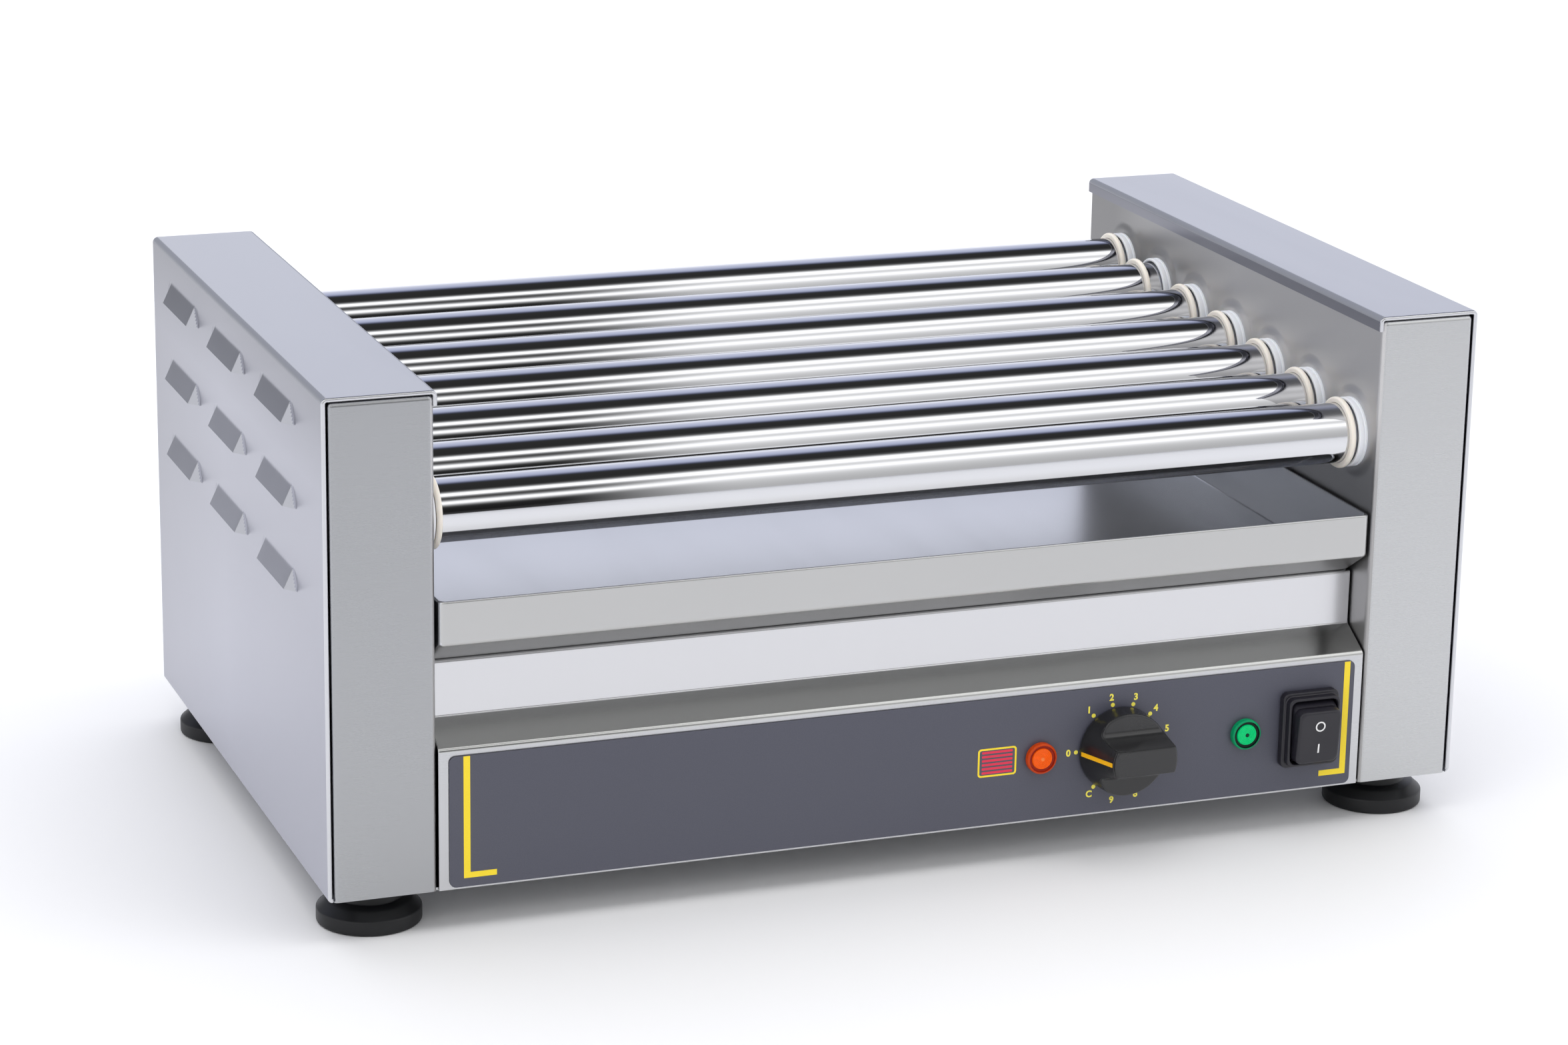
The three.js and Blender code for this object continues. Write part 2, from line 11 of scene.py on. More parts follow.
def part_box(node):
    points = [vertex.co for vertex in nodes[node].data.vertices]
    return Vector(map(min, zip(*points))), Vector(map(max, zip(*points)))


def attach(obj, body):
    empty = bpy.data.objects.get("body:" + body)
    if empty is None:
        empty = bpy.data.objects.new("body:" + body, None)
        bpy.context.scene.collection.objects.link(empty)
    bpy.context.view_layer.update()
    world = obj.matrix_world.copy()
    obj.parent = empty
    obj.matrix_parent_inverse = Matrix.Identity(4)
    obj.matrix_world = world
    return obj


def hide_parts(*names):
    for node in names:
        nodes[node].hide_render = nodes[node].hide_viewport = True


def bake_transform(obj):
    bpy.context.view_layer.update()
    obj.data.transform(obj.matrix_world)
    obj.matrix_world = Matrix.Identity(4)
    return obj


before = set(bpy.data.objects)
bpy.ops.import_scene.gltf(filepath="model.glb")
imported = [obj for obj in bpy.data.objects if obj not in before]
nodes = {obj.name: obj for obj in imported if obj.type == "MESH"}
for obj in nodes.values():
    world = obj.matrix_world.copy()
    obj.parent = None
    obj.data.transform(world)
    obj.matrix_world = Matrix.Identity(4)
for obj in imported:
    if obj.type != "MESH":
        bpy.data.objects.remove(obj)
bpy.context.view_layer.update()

MM = 0.001
scene = bpy.context.scene

# --------------------------------------------------------------------------
# dimensions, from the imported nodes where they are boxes, in millimetres


def span(node):
    lo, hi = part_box(node)
    return [v / MM for v in lo], [v / MM for v in hi]


cov_lo, cov_hi = span("right_cover")
fr_lo, fr_hi = span("right_side_frame")
HALF_D = fr_hi[1]
TOP = cov_hi[2]
BASE = fr_lo[2]
HALF_W = cov_hi[0] - 4.5
WALL_X = fr_lo[0]
PANEL_X = fr_hi[0]
PANEL_TOP = fr_hi[2]
LIP_X = cov_lo[0]
LIP_Z = 237.6
AX = []
for i in range(1, 8):
    lo, hi = span(f"roller_{i}")
    AX.append(((lo[1] + hi[1]) / 2, (lo[2] + hi[2]) / 2))
R_LEFT, R_RIGHT = span("roller_1")[0][0], span("roller_1")[1][0]
ROLLER_R = 14.0

# --------------------------------------------------------------------------
# camera first


def aim_camera(az, el, roll, dist, f_px, target):
    a, e, r = math.radians(az), math.radians(el), math.radians(roll)
    back = Vector((math.sin(a) * math.cos(e), -math.cos(a) * math.cos(e), math.sin(e)))
    right = (-back).cross(Vector((0, 0, 1))).normalized()
    up = right.cross(-back)
    r2 = math.cos(r) * right + math.sin(r) * up
    u2 = -math.sin(r) * right + math.cos(r) * up
    cam = bpy.data.cameras.new("camera")
    ob = bpy.data.objects.new("camera", cam)
    scene.collection.objects.link(ob)
    m = Matrix((r2, u2, back)).transposed().to_4x4()
    m.translation = (Vector(target) + back * dist) * MM
    ob.matrix_world = m
    cam.sensor_fit = "HORIZONTAL"
    cam.sensor_width = 36.0
    cam.lens = f_px * 36.0 / 2352.0
    cam.clip_start, cam.clip_end = 0.02, 60
    scene.camera = ob
    return ob


aim_camera(-20.8241, 16.4204, 0.9771, 2039.1342, 6403.2013, (-5.2599, 0, 122.3283))

# --------------------------------------------------------------------------
# mesh helpers


def link(name, me):
    ob = bpy.data.objects.new(name, me)
    scene.collection.objects.link(ob)
    return ob


def mesh(name, verts, faces, merge=1e-4, recalc=True):
    """An object from vertices in millimetres."""
    me = bpy.data.meshes.new(name)
    me.from_pydata([(v[0] * MM, v[1] * MM, v[2] * MM) for v in verts], [], faces)
    bm = bmesh.new()
    bm.from_mesh(me)
    if merge:
        bmesh.ops.remove_doubles(bm, verts=bm.verts, dist=merge * MM)
    bmesh.ops.dissolve_degenerate(bm, dist=1e-8, edges=bm.edges)
    if recalc:
        bmesh.ops.recalc_face_normals(bm, faces=bm.faces)
    bm.to_mesh(me)
    bm.free()
    me.update()
    return link(name, me)


def smooth(ob, sharp=38, bevel=0, angle=45, segments=2, weighted=True):
    """Smooth shading with sharp edges by angle, and a small bevel on the hard edges."""
    me = ob.data
    me.shade_smooth()
    if bevel:
        b = ob.modifiers.new("bevel", "BEVEL")
        b.width = bevel * MM
        b.segments = segments
        b.limit_method = "ANGLE"
        b.angle_limit = math.radians(angle)
        b.use_clamp_overlap = True
        b.harden_normals = False
        b.miter_outer = "MITER_ARC"
    else:
        me.set_sharp_from_angle(angle=math.radians(sharp))
    if weighted:
        w = ob.modifiers.new("normals", "WEIGHTED_NORMAL")
        w.mode = "FACE_AREA"
        w.weight = 100
        w.keep_sharp = True
    return ob


def applied(ob):
    """The object's mesh with its modifiers applied."""
    dg = bpy.context.evaluated_depsgraph_get()
    me = bpy.data.meshes.new_from_object(ob.evaluated_get(dg), preserve_all_data_layers=True, depsgraph=dg)
    ob.modifiers.clear()
    ob.data = me
    return ob


def join(name, *obs):
    """Several meshes as one, keeping their materials."""
    mats, bm = [], bmesh.new()
    for o in obs:
        o2 = applied(o) if o.modifiers else o
        tmp = bmesh.new()
        tmp.from_mesh(o2.data)
        tmp.transform(o2.matrix_world)
        index = {}
        for k, m in enumerate(o2.data.materials):
            if m not in mats:
                mats.append(m)
            index[k] = mats.index(m)
        for f in tmp.faces:
            f.material_index = index.get(f.material_index, 0)
        keep = bpy.data.meshes.new("tmp")
        tmp.to_mesh(keep)
        tmp.free()
        bm.from_mesh(keep)
        bpy.data.meshes.remove(keep)
    me = bpy.data.meshes.new(name)
    bm.to_mesh(me)
    bm.free()
    for m in mats:
        me.materials.append(m)
    for o in obs:
        bpy.data.objects.remove(o)
    return link(name, me)


def cut(ob, *cutters):
    """Takes the cutters away from a mesh."""
    for c in cutters:
        m = ob.modifiers.new("cut", "BOOLEAN")
        m.operation = "DIFFERENCE"
        m.solver = "EXACT"
        m.object = c
    applied(ob)
    for c in cutters:
        bpy.data.objects.remove(c)
    return ob


def mirrored(ob, name):
    me = ob.data.copy()
    me.transform(Matrix.Scale(-1, 4, (1, 0, 0)))
    me.flip_normals()
    o = link(name, me)
    for m in ob.modifiers:
        n = o.modifiers.new(m.name, m.type)
        for p in m.bl_rna.properties:
            if not p.is_readonly and p.identifier not in ("name", "type"):
                try:
                    setattr(n, p.identifier, getattr(m, p.identifier))
                except (AttributeError, TypeError):
                    pass
    return o


AXIS = {"x": lambda s, u, v: (s, u, v), "y": lambda s, u, v: (u, s, v), "z": lambda s, u, v: (u, v, s)}


def lathe(name, profile, axis, centre, segs=64, closed=False, phase=0.0):
    """Revolves [radius, height] points about an axis through centre (the two other coordinates)."""
    prof = list(profile)
    n = len(prof)
    verts, faces = [], []
    for k in range(segs):
        a = 2 * math.pi * (k + phase) / segs
        for r, h in prof:
            verts.append(AXIS[axis](h, centre[0] + r * math.cos(a), centre[1] + r * math.sin(a)))
    rows = n if closed else n - 1
    for k in range(segs):
        k2 = (k + 1) % segs
        for j in range(rows):
            j2 = (j + 1) % n
            faces.append((k * n + j, k * n + j2, k2 * n + j2, k2 * n + j))
    return mesh(name, verts, faces)


def arc(cx, cy, r, a0, a1, steps):
    return [
        (cx + r * math.cos(math.radians(a0 + (a1 - a0) * k / steps)), cy + r * math.sin(math.radians(a0 + (a1 - a0) * k / steps)))
        for k in range(steps + 1)
    ]


def round_rect(cx, cy, hw, hh, r, steps=6):
    pts = []
    for sx, sy, a0 in ((1, 1, 0), (-1, 1, 90), (-1, -1, 180), (1, -1, 270)):
        pts += arc(cx + sx * (hw - r), cy + sy * (hh - r), r, a0, a0 + 90, steps)
    return pts


def bends(path, t, r, steps=7):
    """A sheet's outer surface as (point, normal) pairs, its corners rounded. The thickness is on the left."""
    out = []
    radii = list(r) if hasattr(r, "__len__") else [r] * len(path)

    def unit(a, b):
        l = math.hypot(b[0] - a[0], b[1] - a[1])
        return ((b[0] - a[0]) / l, (b[1] - a[1]) / l)

    for i, p in enumerate(path):
        if i == 0:
            d = unit(path[0], path[1])
            out.append((p, (-d[1], d[0])))
            continue
        if i == len(path) - 1:
            d = unit(path[i - 1], p)
            out.append((p, (-d[1], d[0])))
            continue
        d0, d1 = unit(path[i - 1], p), unit(p, path[i + 1])
        turn = math.atan2(d0[0] * d1[1] - d0[1] * d1[0], d0[0] * d1[0] + d0[1] * d1[1])
        r1 = radii[i - 1]
        rr = r1 if turn > 0 else max(r1 - t, 0.4)
        c = rr * math.tan(abs(turn) / 2)
        s = (p[0] - d0[0] * c, p[1] - d0[1] * c)
        n0 = (-d0[1], d0[0])
        sg = 1 if turn > 0 else -1
        q = (s[0] + n0[0] * rr * sg, s[1] + n0[1] * rr * sg)
        for k in range(steps + 1):
            a = turn * k / steps
            n = (n0[0] * math.cos(a) - n0[1] * math.sin(a), n0[0] * math.sin(a) + n0[1] * math.cos(a))
            out.append(((q[0] - n[0] * rr * sg, q[1] - n[1] * rr * sg), n))
    return out


def with_lines(prof, fixed, moving, value, lines):
    """The profile with more points where it runs straight at value in coordinate fixed, at these places in coordinate moving."""
    out = []
    for k, (p, n) in enumerate(prof):
        out.append((p, n))
        if k + 1 == len(prof):
            break
        q = prof[k + 1][0]
        if abs(p[fixed] - value) < 1e-6 and abs(q[fixed] - value) < 1e-6:
            lo, hi = sorted((p[moving], q[moving]))
            inside = sorted((v for v in lines if lo + 1e-6 < v < hi - 1e-6), reverse=q[moving] < p[moving])
            for v in inside:
                pt = [0.0, 0.0]
                pt[fixed], pt[moving] = value, v
                out.append((tuple(pt), n))
    return out


def sheet(name, prof, stations, axis, push=None, slot=None):
    """A bent sheet swept along an axis. prof comes from bends. Each station is (place, outer offset, inner offset),
    or (place of the outer skin, its offset, place of the inner skin, its offset). push(point, place) moves both skins
    outwards. slot is (rows, test): between row k and row k + 1 for k in rows the sheet is open where test(place) holds."""
    n = len(prof)
    st = [(s[0], s[1], s[0], s[2]) if len(s) == 3 else s for s in stations]
    verts, faces = [], []
    for so, o, si, i in st:
        for k, (p, m) in enumerate(prof):
            d = push(p, so, k) if push else 0.0
            verts.append(AXIS[axis](so, p[0] + m[0] * (o - d), p[1] + m[1] * (o - d)))
        for k, (p, m) in enumerate(prof):
            d = push(p, so, k) if push else 0.0
            verts.append(AXIS[axis](si, p[0] + m[0] * (i - d), p[1] + m[1] * (i - d)))
    w = 2 * n
    for j in range(len(st) - 1):
        a, b = j * w, (j + 1) * w
        for k in range(n - 1):
            if slot and k in slot[0]:
                if slot[1](st[j][0], st[j + 1][0]):
                    faces.append((a + k, b + k, b + n + k, a + n + k))
                    faces.append((a + k + 1, a + n + k + 1, b + n + k + 1, b + k + 1))
                    continue
            faces.append((a + k, a + k + 1, b + k + 1, b + k))
            faces.append((a + n + k, b + n + k, b + n + k + 1, a + n + k + 1))
        faces.append((a, b, b + n, a + n))
        faces.append((a + n - 1, a + 2 * n - 1, b + 2 * n - 1, b + n - 1))
    for j in (0, len(st) - 1):
        if abs(st[j][1] - st[j][3]) > 1e-6 or abs(st[j][0] - st[j][2]) > 1e-6:
            a = j * w
            for k in range(n - 1):
                faces.append((a + k, a + k + 1, a + n + k + 1, a + n + k))
    return mesh(name, verts, faces)


def rolled(s0, direction, radius, steps=6):
    """Stations of a half-round edge that starts at s0 and opens to twice the radius."""
    out = []
    for k in range(steps + 1):
        a = math.pi / 2 * k / steps
        out.append((s0 + direction * radius * (1 - math.cos(a)), radius - radius * math.sin(a), radius + radius * math.sin(a)))
    return out


def prism(name, pts, axis, a, b):
    n = len(pts)
    verts = [AXIS[axis](a, *p) for p in pts] + [AXIS[axis](b, *p) for p in pts]
    faces = [tuple(range(n))[::-1], tuple(range(n, 2 * n))]
    faces += [(k, (k + 1) % n, n + (k + 1) % n, n + k) for k in range(n)]
    return mesh(name, verts, faces)


def rings(name, loops, cap_start=True, cap_end=True):
    """A skin over loops of equal length, each a list of points."""
    n = len(loops[0])
    verts = [p for l in loops for p in l]
    faces = []
    for j in range(len(loops) - 1):
        for k in range(n):
            faces.append((j * n + k, j * n + (k + 1) % n, (j + 1) * n + (k + 1) % n, (j + 1) * n + k))
    if cap_start:
        faces.append(tuple(range(n))[::-1])
    if cap_end:
        faces.append(tuple(range((len(loops) - 1) * n, len(loops) * n)))
    return mesh(name, verts, faces)


# --------------------------------------------------------------------------
# materials


class Mat:
    """A Principled material with the nodes that a procedural finish needs."""

    def __init__(self, name, base, rough, metal=0.0, **sockets):
        self.m = bpy.data.materials.new(name)
        self.m.use_nodes = True
        self.nt = self.m.node_tree
        self.b = self.nt.nodes["Principled BSDF"]
        self.b.inputs["Base Color"].default_value = (*base, 1)
        self.b.inputs["Roughness"].default_value = rough
        self.b.inputs["Metallic"].default_value = metal
        for k, v in sockets.items():
            self.b.inputs[k.replace("_", " ")].default_value = v
        self.base, self.rough = base, rough
        self.m.diffuse_color = (*base, 1)
        self.bump_out = None

    def node(self, kind, **props):
        n = self.nt.nodes.new(kind)
        for k, v in props.items():
            setattr(n, k, v)
        return n

    def coords(self, scale, rot=(0, 0, 0)):
        c = self.node("ShaderNodeTexCoord")
        m = self.node("ShaderNodeMapping")
        m.inputs["Scale"].default_value = scale
        m.inputs["Rotation"].default_value = rot
        self.nt.links.new(c.outputs["Object"], m.inputs["Vector"])
        return m.outputs["Vector"]

    def noise(self, scale, detail=3.0, rough=0.55, rot=(0, 0, 0), distortion=0.0):
        n = self.node("ShaderNodeTexNoise")
        n.inputs["Scale"].default_value = 1.0
        n.inputs["Detail"].default_value = detail
        n.inputs["Roughness"].default_value = rough
        n.inputs["Distortion"].default_value = distortion
        self.nt.links.new(self.coords(scale, rot), n.inputs["Vector"])
        return n.outputs["Fac"]

    def remap(self, v, a, b, lo, hi):
        n = self.node("ShaderNodeMapRange")
        n.clamp = True
        for k, x in zip(("From Min", "From Max", "To Min", "To Max"), (a, b, lo, hi)):
            n.inputs[k].default_value = x
        self.nt.links.new(v, n.inputs["Value"])
        return n.outputs["Result"]

    def math(self, op, a, b):
        n = self.node("ShaderNodeMath", operation=op)
        for k, x in enumerate((a, b)):
            if isinstance(x, (int, float)):
                n.inputs[k].default_value = x
            else:
                self.nt.links.new(x, n.inputs[k])
        return n.outputs[0]

    def tint(self, fac, dark, light):
        n = self.node("ShaderNodeMix", data_type="RGBA")
        n.inputs[6].default_value = (*dark, 1)
        n.inputs[7].default_value = (*light, 1)
        self.nt.links.new(fac, n.inputs[0])
        return n.outputs[2]

    def to(self, out, socket):
        self.nt.links.new(out, self.b.inputs[socket])

    def bump(self, height, strength, distance):
        n = self.node("ShaderNodeBump")
        n.inputs["Strength"].default_value = strength
        n.inputs["Distance"].default_value = distance
        self.nt.links.new(height, n.inputs["Height"])
        if self.bump_out is not None:
            self.nt.links.new(self.bump_out, n.inputs["Normal"])
        self.bump_out = n.outputs["Normal"]
        self.nt.links.new(self.bump_out, self.b.inputs["Normal"])


def scaled(c, k):
    return tuple(min(1.0, x * k) for x in c)


def brushed(name, base, rough, grain, contrast=0.009, rough_swing=0.007, bump=0.0015, aniso=0.0):
    """Brushed stainless: fine streaks along one row axis, and a slow cloudiness."""
    m = Mat(name, base, rough, 1.0)
    long, short = 45.0, 4200.0
    sc = {"x": (long, short, short), "y": (short, long, short), "z": (short, short, long)}[grain]
    streak = m.noise(sc, 3.0, 0.6)
    cloud = m.noise((7, 7, 7), 3.0, 0.5)
    m.to(m.tint(m.remap(streak, 0.3, 0.7, 0, 1), scaled(base, 1 - contrast), scaled(base, 1 + contrast)), "Base Color")
    r1 = m.remap(streak, 0.3, 0.7, rough + rough_swing, rough - rough_swing)
    r2 = m.remap(cloud, 0.35, 0.65, -0.01, 0.01)
    m.to(m.math("ADD", r1, r2), "Roughness")
    m.bump(streak, bump, 0.0001)
    if aniso:
        m.b.inputs["Anisotropic"].default_value = aniso
        t = m.node("ShaderNodeTangent", direction_type="RADIAL", axis=grain.upper())
        m.nt.links.new(t.outputs[0], m.b.inputs["Tangent"])
    return m.m


def satin(name, base, rough, speck=0.012, bump=0.02, painted_shades=()):
    """Smooth stainless with a fine even tooth and faint handling marks. Each painted shade is (row axis, from, to,
    factor at from, factor at to): painted light and shade, a slow change of tone along the sheet."""
    m = Mat(name, base, rough, 1.0)
    fine = m.noise((1500, 1500, 1500), 3.0, 0.65)
    wipe = m.noise((30, 5, 5), 4.0, 0.55, rot=(0.4, 0.3, 0.9), distortion=0.6)
    col = m.tint(m.remap(fine, 0.3, 0.7, 0, 1), scaled(base, 1 - speck), scaled(base, 1 + speck))
    # painted light and shade: the base colour is scaled along one row axis
    for axis, a, b, k0, k1 in painted_shades:
        place = m.node("ShaderNodeTexCoord")
        parts = m.node("ShaderNodeSeparateXYZ")
        m.nt.links.new(place.outputs["Object"], parts.inputs[0])
        k = m.node("ShaderNodeVectorMath", operation="SCALE")
        m.nt.links.new(col, k.inputs[0])
        m.nt.links.new(m.remap(parts.outputs["XYZ".index(axis)], a, b, k0, k1), k.inputs["Scale"])
        col = k.outputs[0]
    m.to(col, "Base Color")
    m.to(m.math("ADD", m.remap(fine, 0.3, 0.7, rough - 0.015, rough + 0.015), m.remap(wipe, 0.4, 0.7, -0.006, 0.012)), "Roughness")
    m.bump(fine, bump, 0.00003)
    return m.m


def plastic(name, base, rough, grain=900.0, bump=0.12, swing=0.06, speck=0.08, **sockets):
    """Moulded plastic or rubber: spark-eroded fine grain and slight gloss variation."""
    m = Mat(name, base, rough, 0.0, **sockets)
    fine = m.noise((grain,) * 3, 2.0, 0.6)
    slow = m.noise((45, 45, 45), 3.0, 0.5)
    m.to(m.remap(slow, 0.3, 0.7, rough - swing, rough + swing), "Roughness")
    m.to(m.tint(slow, scaled(base, 1 - speck), scaled(base, 1 + speck)), "Base Color")
    m.bump(fine, bump, 0.00012)
    return m.m


STEEL_X = brushed("brushed_steel_x", (0.55, 0.556, 0.562), 0.27, "x", aniso=0.6)
# painted shade: a darker copy of brushed_steel_x for the left side frame, where the light is dimmer
STEEL_X_SHADED_LEFT = brushed("brushed_steel_left_painted_shade", (0.42, 0.427, 0.440), 0.27, "x", aniso=0.6)
STEEL_Z = brushed("brushed_steel_z", (0.655, 0.655, 0.672), 0.21, "z", aniso=0.6)
# painted light: a lighter copy of brushed_steel_x for the fascia's front face round the faceplate
STEEL_RIM_LIT = brushed("brushed_steel_rim_painted_light", (0.59, 0.595, 0.61), 0.27, "x", aniso=0.6)
STEEL_SLOPE = brushed("brushed_steel_slope", (0.575, 0.58, 0.57), 0.19, "x", aniso=0.5)
# painted shade and light on the covers' sides: darker near the top edge and towards the rear, lighter near the bottom
STEEL_COVER = satin("satin_steel_cover", (0.405, 0.41, 0.465), 0.30, painted_shades=(
    ("Z", 0.203, 0.243, 1.0, 0.66), ("Z", 0.03, 0.14, 1.24, 0.98), ("Y", 0.02, 0.17, 1.0, 0.76)))
# painted light: a lighter copy of the cover steel for the covers' tops and the louvres' end facets
STEEL_COVER_LIT = satin("satin_steel_cover_painted_light", (0.505, 0.51, 0.535), 0.30)
# painted light: a lighter copy of the cover steel for the rolled hems at the front and rear edges
STEEL_HEM_LIT = satin("satin_steel_hem_painted_light", (0.64, 0.645, 0.67), 0.24)
STEEL_BEND = satin("satin_steel_bend", (0.50, 0.51, 0.54), 0.62)
# painted shade and reflection on the inner walls: lighter towards the front, darker towards the rear and below the
# rollers
STEEL_WALL = satin(
    "satin_steel_wall", (0.46, 0.455, 0.455), 0.38, painted_shades=(
        ("Y", -0.01, 0.13, 1.36, 0.56), ("Z", 0.168, 0.2, 0.68, 1.0)),
)
STEEL_TRAY = satin("satin_steel_tray", (0.64, 0.65, 0.68), 0.24)
# painted shade: a darker copy of the tray steel for the tray's underside and the inner face of its front wall
STEEL_TRAY_SHADED = satin("satin_steel_tray_painted_shade", (0.33, 0.33, 0.325), 0.32)
STEEL_TRAY_FRONT = brushed("brushed_steel_tray", (0.535, 0.535, 0.53), 0.25, "x", aniso=0.6)


def chrome_material():
    m = Mat("roller_chrome", (0.69, 0.695, 0.715), 0.04, 1.0)
    scuff = m.noise((9, 420, 420), 4.0, 0.6)
    speck = m.noise((260, 260, 260), 5.0, 0.75)
    marks = m.math("MAXIMUM", m.remap(scuff, 0.60, 0.82, 0.0, 0.07), m.remap(speck, 0.74, 0.88, 0.0, 0.08))
    m.to(m.math("ADD", marks, 0.026), "Roughness")
    m.to(m.tint(m.remap(speck, 0.70, 0.90, 0, 1), (0.69, 0.695, 0.715), (0.62, 0.62, 0.635)), "Base Color")
    return m.m


CHROME = chrome_material()


def faceplate_material():
    m = Mat("faceplate_print", (0.078, 0.080, 0.108), 0.42, 0.0)
    fine = m.noise((2600, 2600, 2600), 2.0, 0.6)
    slow = m.noise((14, 14, 14), 3.0, 0.5)
    m.to(m.tint(m.remap(fine, 0.3, 0.7, 0, 1), (0.071, 0.073, 0.099), (0.086, 0.088, 0.118)), "Base Color")
    m.to(m.remap(slow, 0.3, 0.7, 0.38, 0.46), "Roughness")
    m.bump(fine, 0.12, 0.00006)
    return m.m


FACE = faceplate_material()


def ink(name, base, rough=0.4, **k):
    m = Mat(name, base, rough, 0.0, **k)
    f = m.noise((1800, 1800, 1800), 2.0, 0.6)
    m.to(m.tint(m.remap(f, 0.3, 0.7, 0, 1), scaled(base, 0.95), scaled(base, 1.04)), "Base Color")
    m.bump(f, 0.08, 0.00003)
    return m.m


YELLOW = ink("print_yellow", (1.0, 0.74, 0.02))
DIGITS = ink("digit_yellow", (1.0, 0.86, 0.10))
POINTER = ink("pointer_yellow", (1.0, 0.50, 0.005), 0.35)
RED = ink("print_red", (0.80, 0.022, 0.07))
WHITE = ink("print_white", (0.86, 0.86, 0.86))
KNOB = plastic("knob_plastic", (0.010, 0.010, 0.011), 0.30, 1400.0, 0.10, 0.05, Coat_Weight=0.35, Coat_Roughness=0.22)
BLACK = plastic("black_plastic", (0.018, 0.018, 0.02), 0.42, 1200.0, 0.12)
BOOT = plastic("boot_rubber", (0.013, 0.012, 0.018), 0.38, 900.0, 0.10, 0.06)
FOOT = plastic("foot_rubber", (0.008, 0.0083, 0.0095), 0.42, 700.0, 0.16, 0.08, Specular_IOR_Level=0.36)
PTFE = plastic("ptfe_bush", (0.86, 0.88, 0.92), 0.38, 700.0, 0.06, 0.05, 0.02, Subsurface_Weight=0.15)
SILICONE = plastic("silicone_ring", (0.92, 0.86, 0.77), 0.42, 900.0, 0.08, 0.05, 0.03, Subsurface_Weight=0.2)
for mm in (PTFE, SILICONE):
    mm.node_tree.nodes["Principled BSDF"].inputs["Subsurface Radius"].default_value = (0.002, 0.0015, 0.001)


def cast_material(name, base, rough, metal, grain=500.0):
    m = Mat(name, base, rough, metal)
    f = m.noise((grain,) * 3, 4.0, 0.65)
    s = m.noise((60, 60, 60), 3.0, 0.5)
    m.to(m.tint(s, scaled(base, 0.85), scaled(base, 1.12)), "Base Color")
    m.to(m.remap(f, 0.3, 0.7, rough - 0.08, rough + 0.08), "Roughness")
    m.bump(f, 0.25, 0.0002)
    return m.m


DRIVE = cast_material("drive_steel", (0.17, 0.17, 0.18), 0.36, 1.0)
ALLOY = cast_material("motor_alloy", (0.46, 0.47, 0.49), 0.42, 1.0, 350.0)
SHEATH = cast_material("heater_sheath", (0.30, 0.27, 0.25), 0.42, 1.0, 700.0)
ZINC = cast_material("screw_zinc", (0.66, 0.66, 0.67), 0.24, 1.0, 900.0)


def paint(ob, mat):
    ob.data.materials.clear()
    ob.data.materials.append(mat)
    return ob


def slots(ob, *mats):
    ob.data.materials.clear()
    for m in mats:
        ob.data.materials.append(m)


for name, m in (
    [("base_pan", STEEL_X), ("heater_bracket_left", STEEL_WALL), ("heater_bracket_right", STEEL_WALL)]
    + [("gear_motor", ALLOY), ("drive_chain", DRIVE), ("drive_sprocket", DRIVE), ("energy_regulator", BLACK)]
    + [(f"sprocket_{i}", DRIVE) for i in range(1, 8)]
    + [(f"heater_{i}", SHEATH) for i in range(1, 8)]
):
    o = nodes[name]
    o.data.materials.clear()
    o.data.materials.append(m)
    o.data.shade_smooth()
    o.data.set_sharp_from_angle(angle=math.radians(40))

# --------------------------------------------------------------------------
# side covers, with the pressed louvres

SHEET = 1.2
LOUVRE_Y, LOUVRE_Z = (-83.5, 6.5, 96.0), (230.5, 193.3, 156.0)
LOUVRE_L, LOUVRE_H, LOUVRE_OUT, LOUVRE_END = 48.5, 9.3, 4.4, 6.0
COVER_BEND = 2.6


def smax(a, b, k):
    h = max(k - abs(a - b), 0.0) / k
    return max(a, b) + h * h * k * 0.25


def smin(a, b, k):
    return -smax(-a, -b, k)


def louvre_height(y, z):
    best, dent = 0.0, 0.0
    for yc in LOUVRE_Y:
        if abs(y - yc) > LOUVRE_L / 2 + LOUVRE_END + 4:
            continue
        for zt in LOUVRE_Z:
            if not zt - LOUVRE_H - 1e-6 <= z <= zt + 1.5:
                continue
            up = (zt - z) / LOUVRE_H
            main = LOUVRE_OUT * up
            over = abs(y - yc) - LOUVRE_L / 2
            end = LOUVRE_OUT * up - LOUVRE_OUT * over / LOUVRE_END
            h = smin(main, end, 0.25)
            past = over - LOUVRE_END * up
            if 0 < past < 3.6 and 0 < up < 1:
                dent = min(dent, -0.42 * math.sin(math.pi * past / 3.6) ** 2 * math.sin(math.pi * up) ** 0.7)
            best = max(best, smax(h, 0.0, 0.35) if z > zt - LOUVRE_H + 0.01 or h > 0.02 else 0.0)
            if over > LOUVRE_END * up + 0.75 or z > zt + 1.2:
                return dent
    return best if best > 0.02 else dent


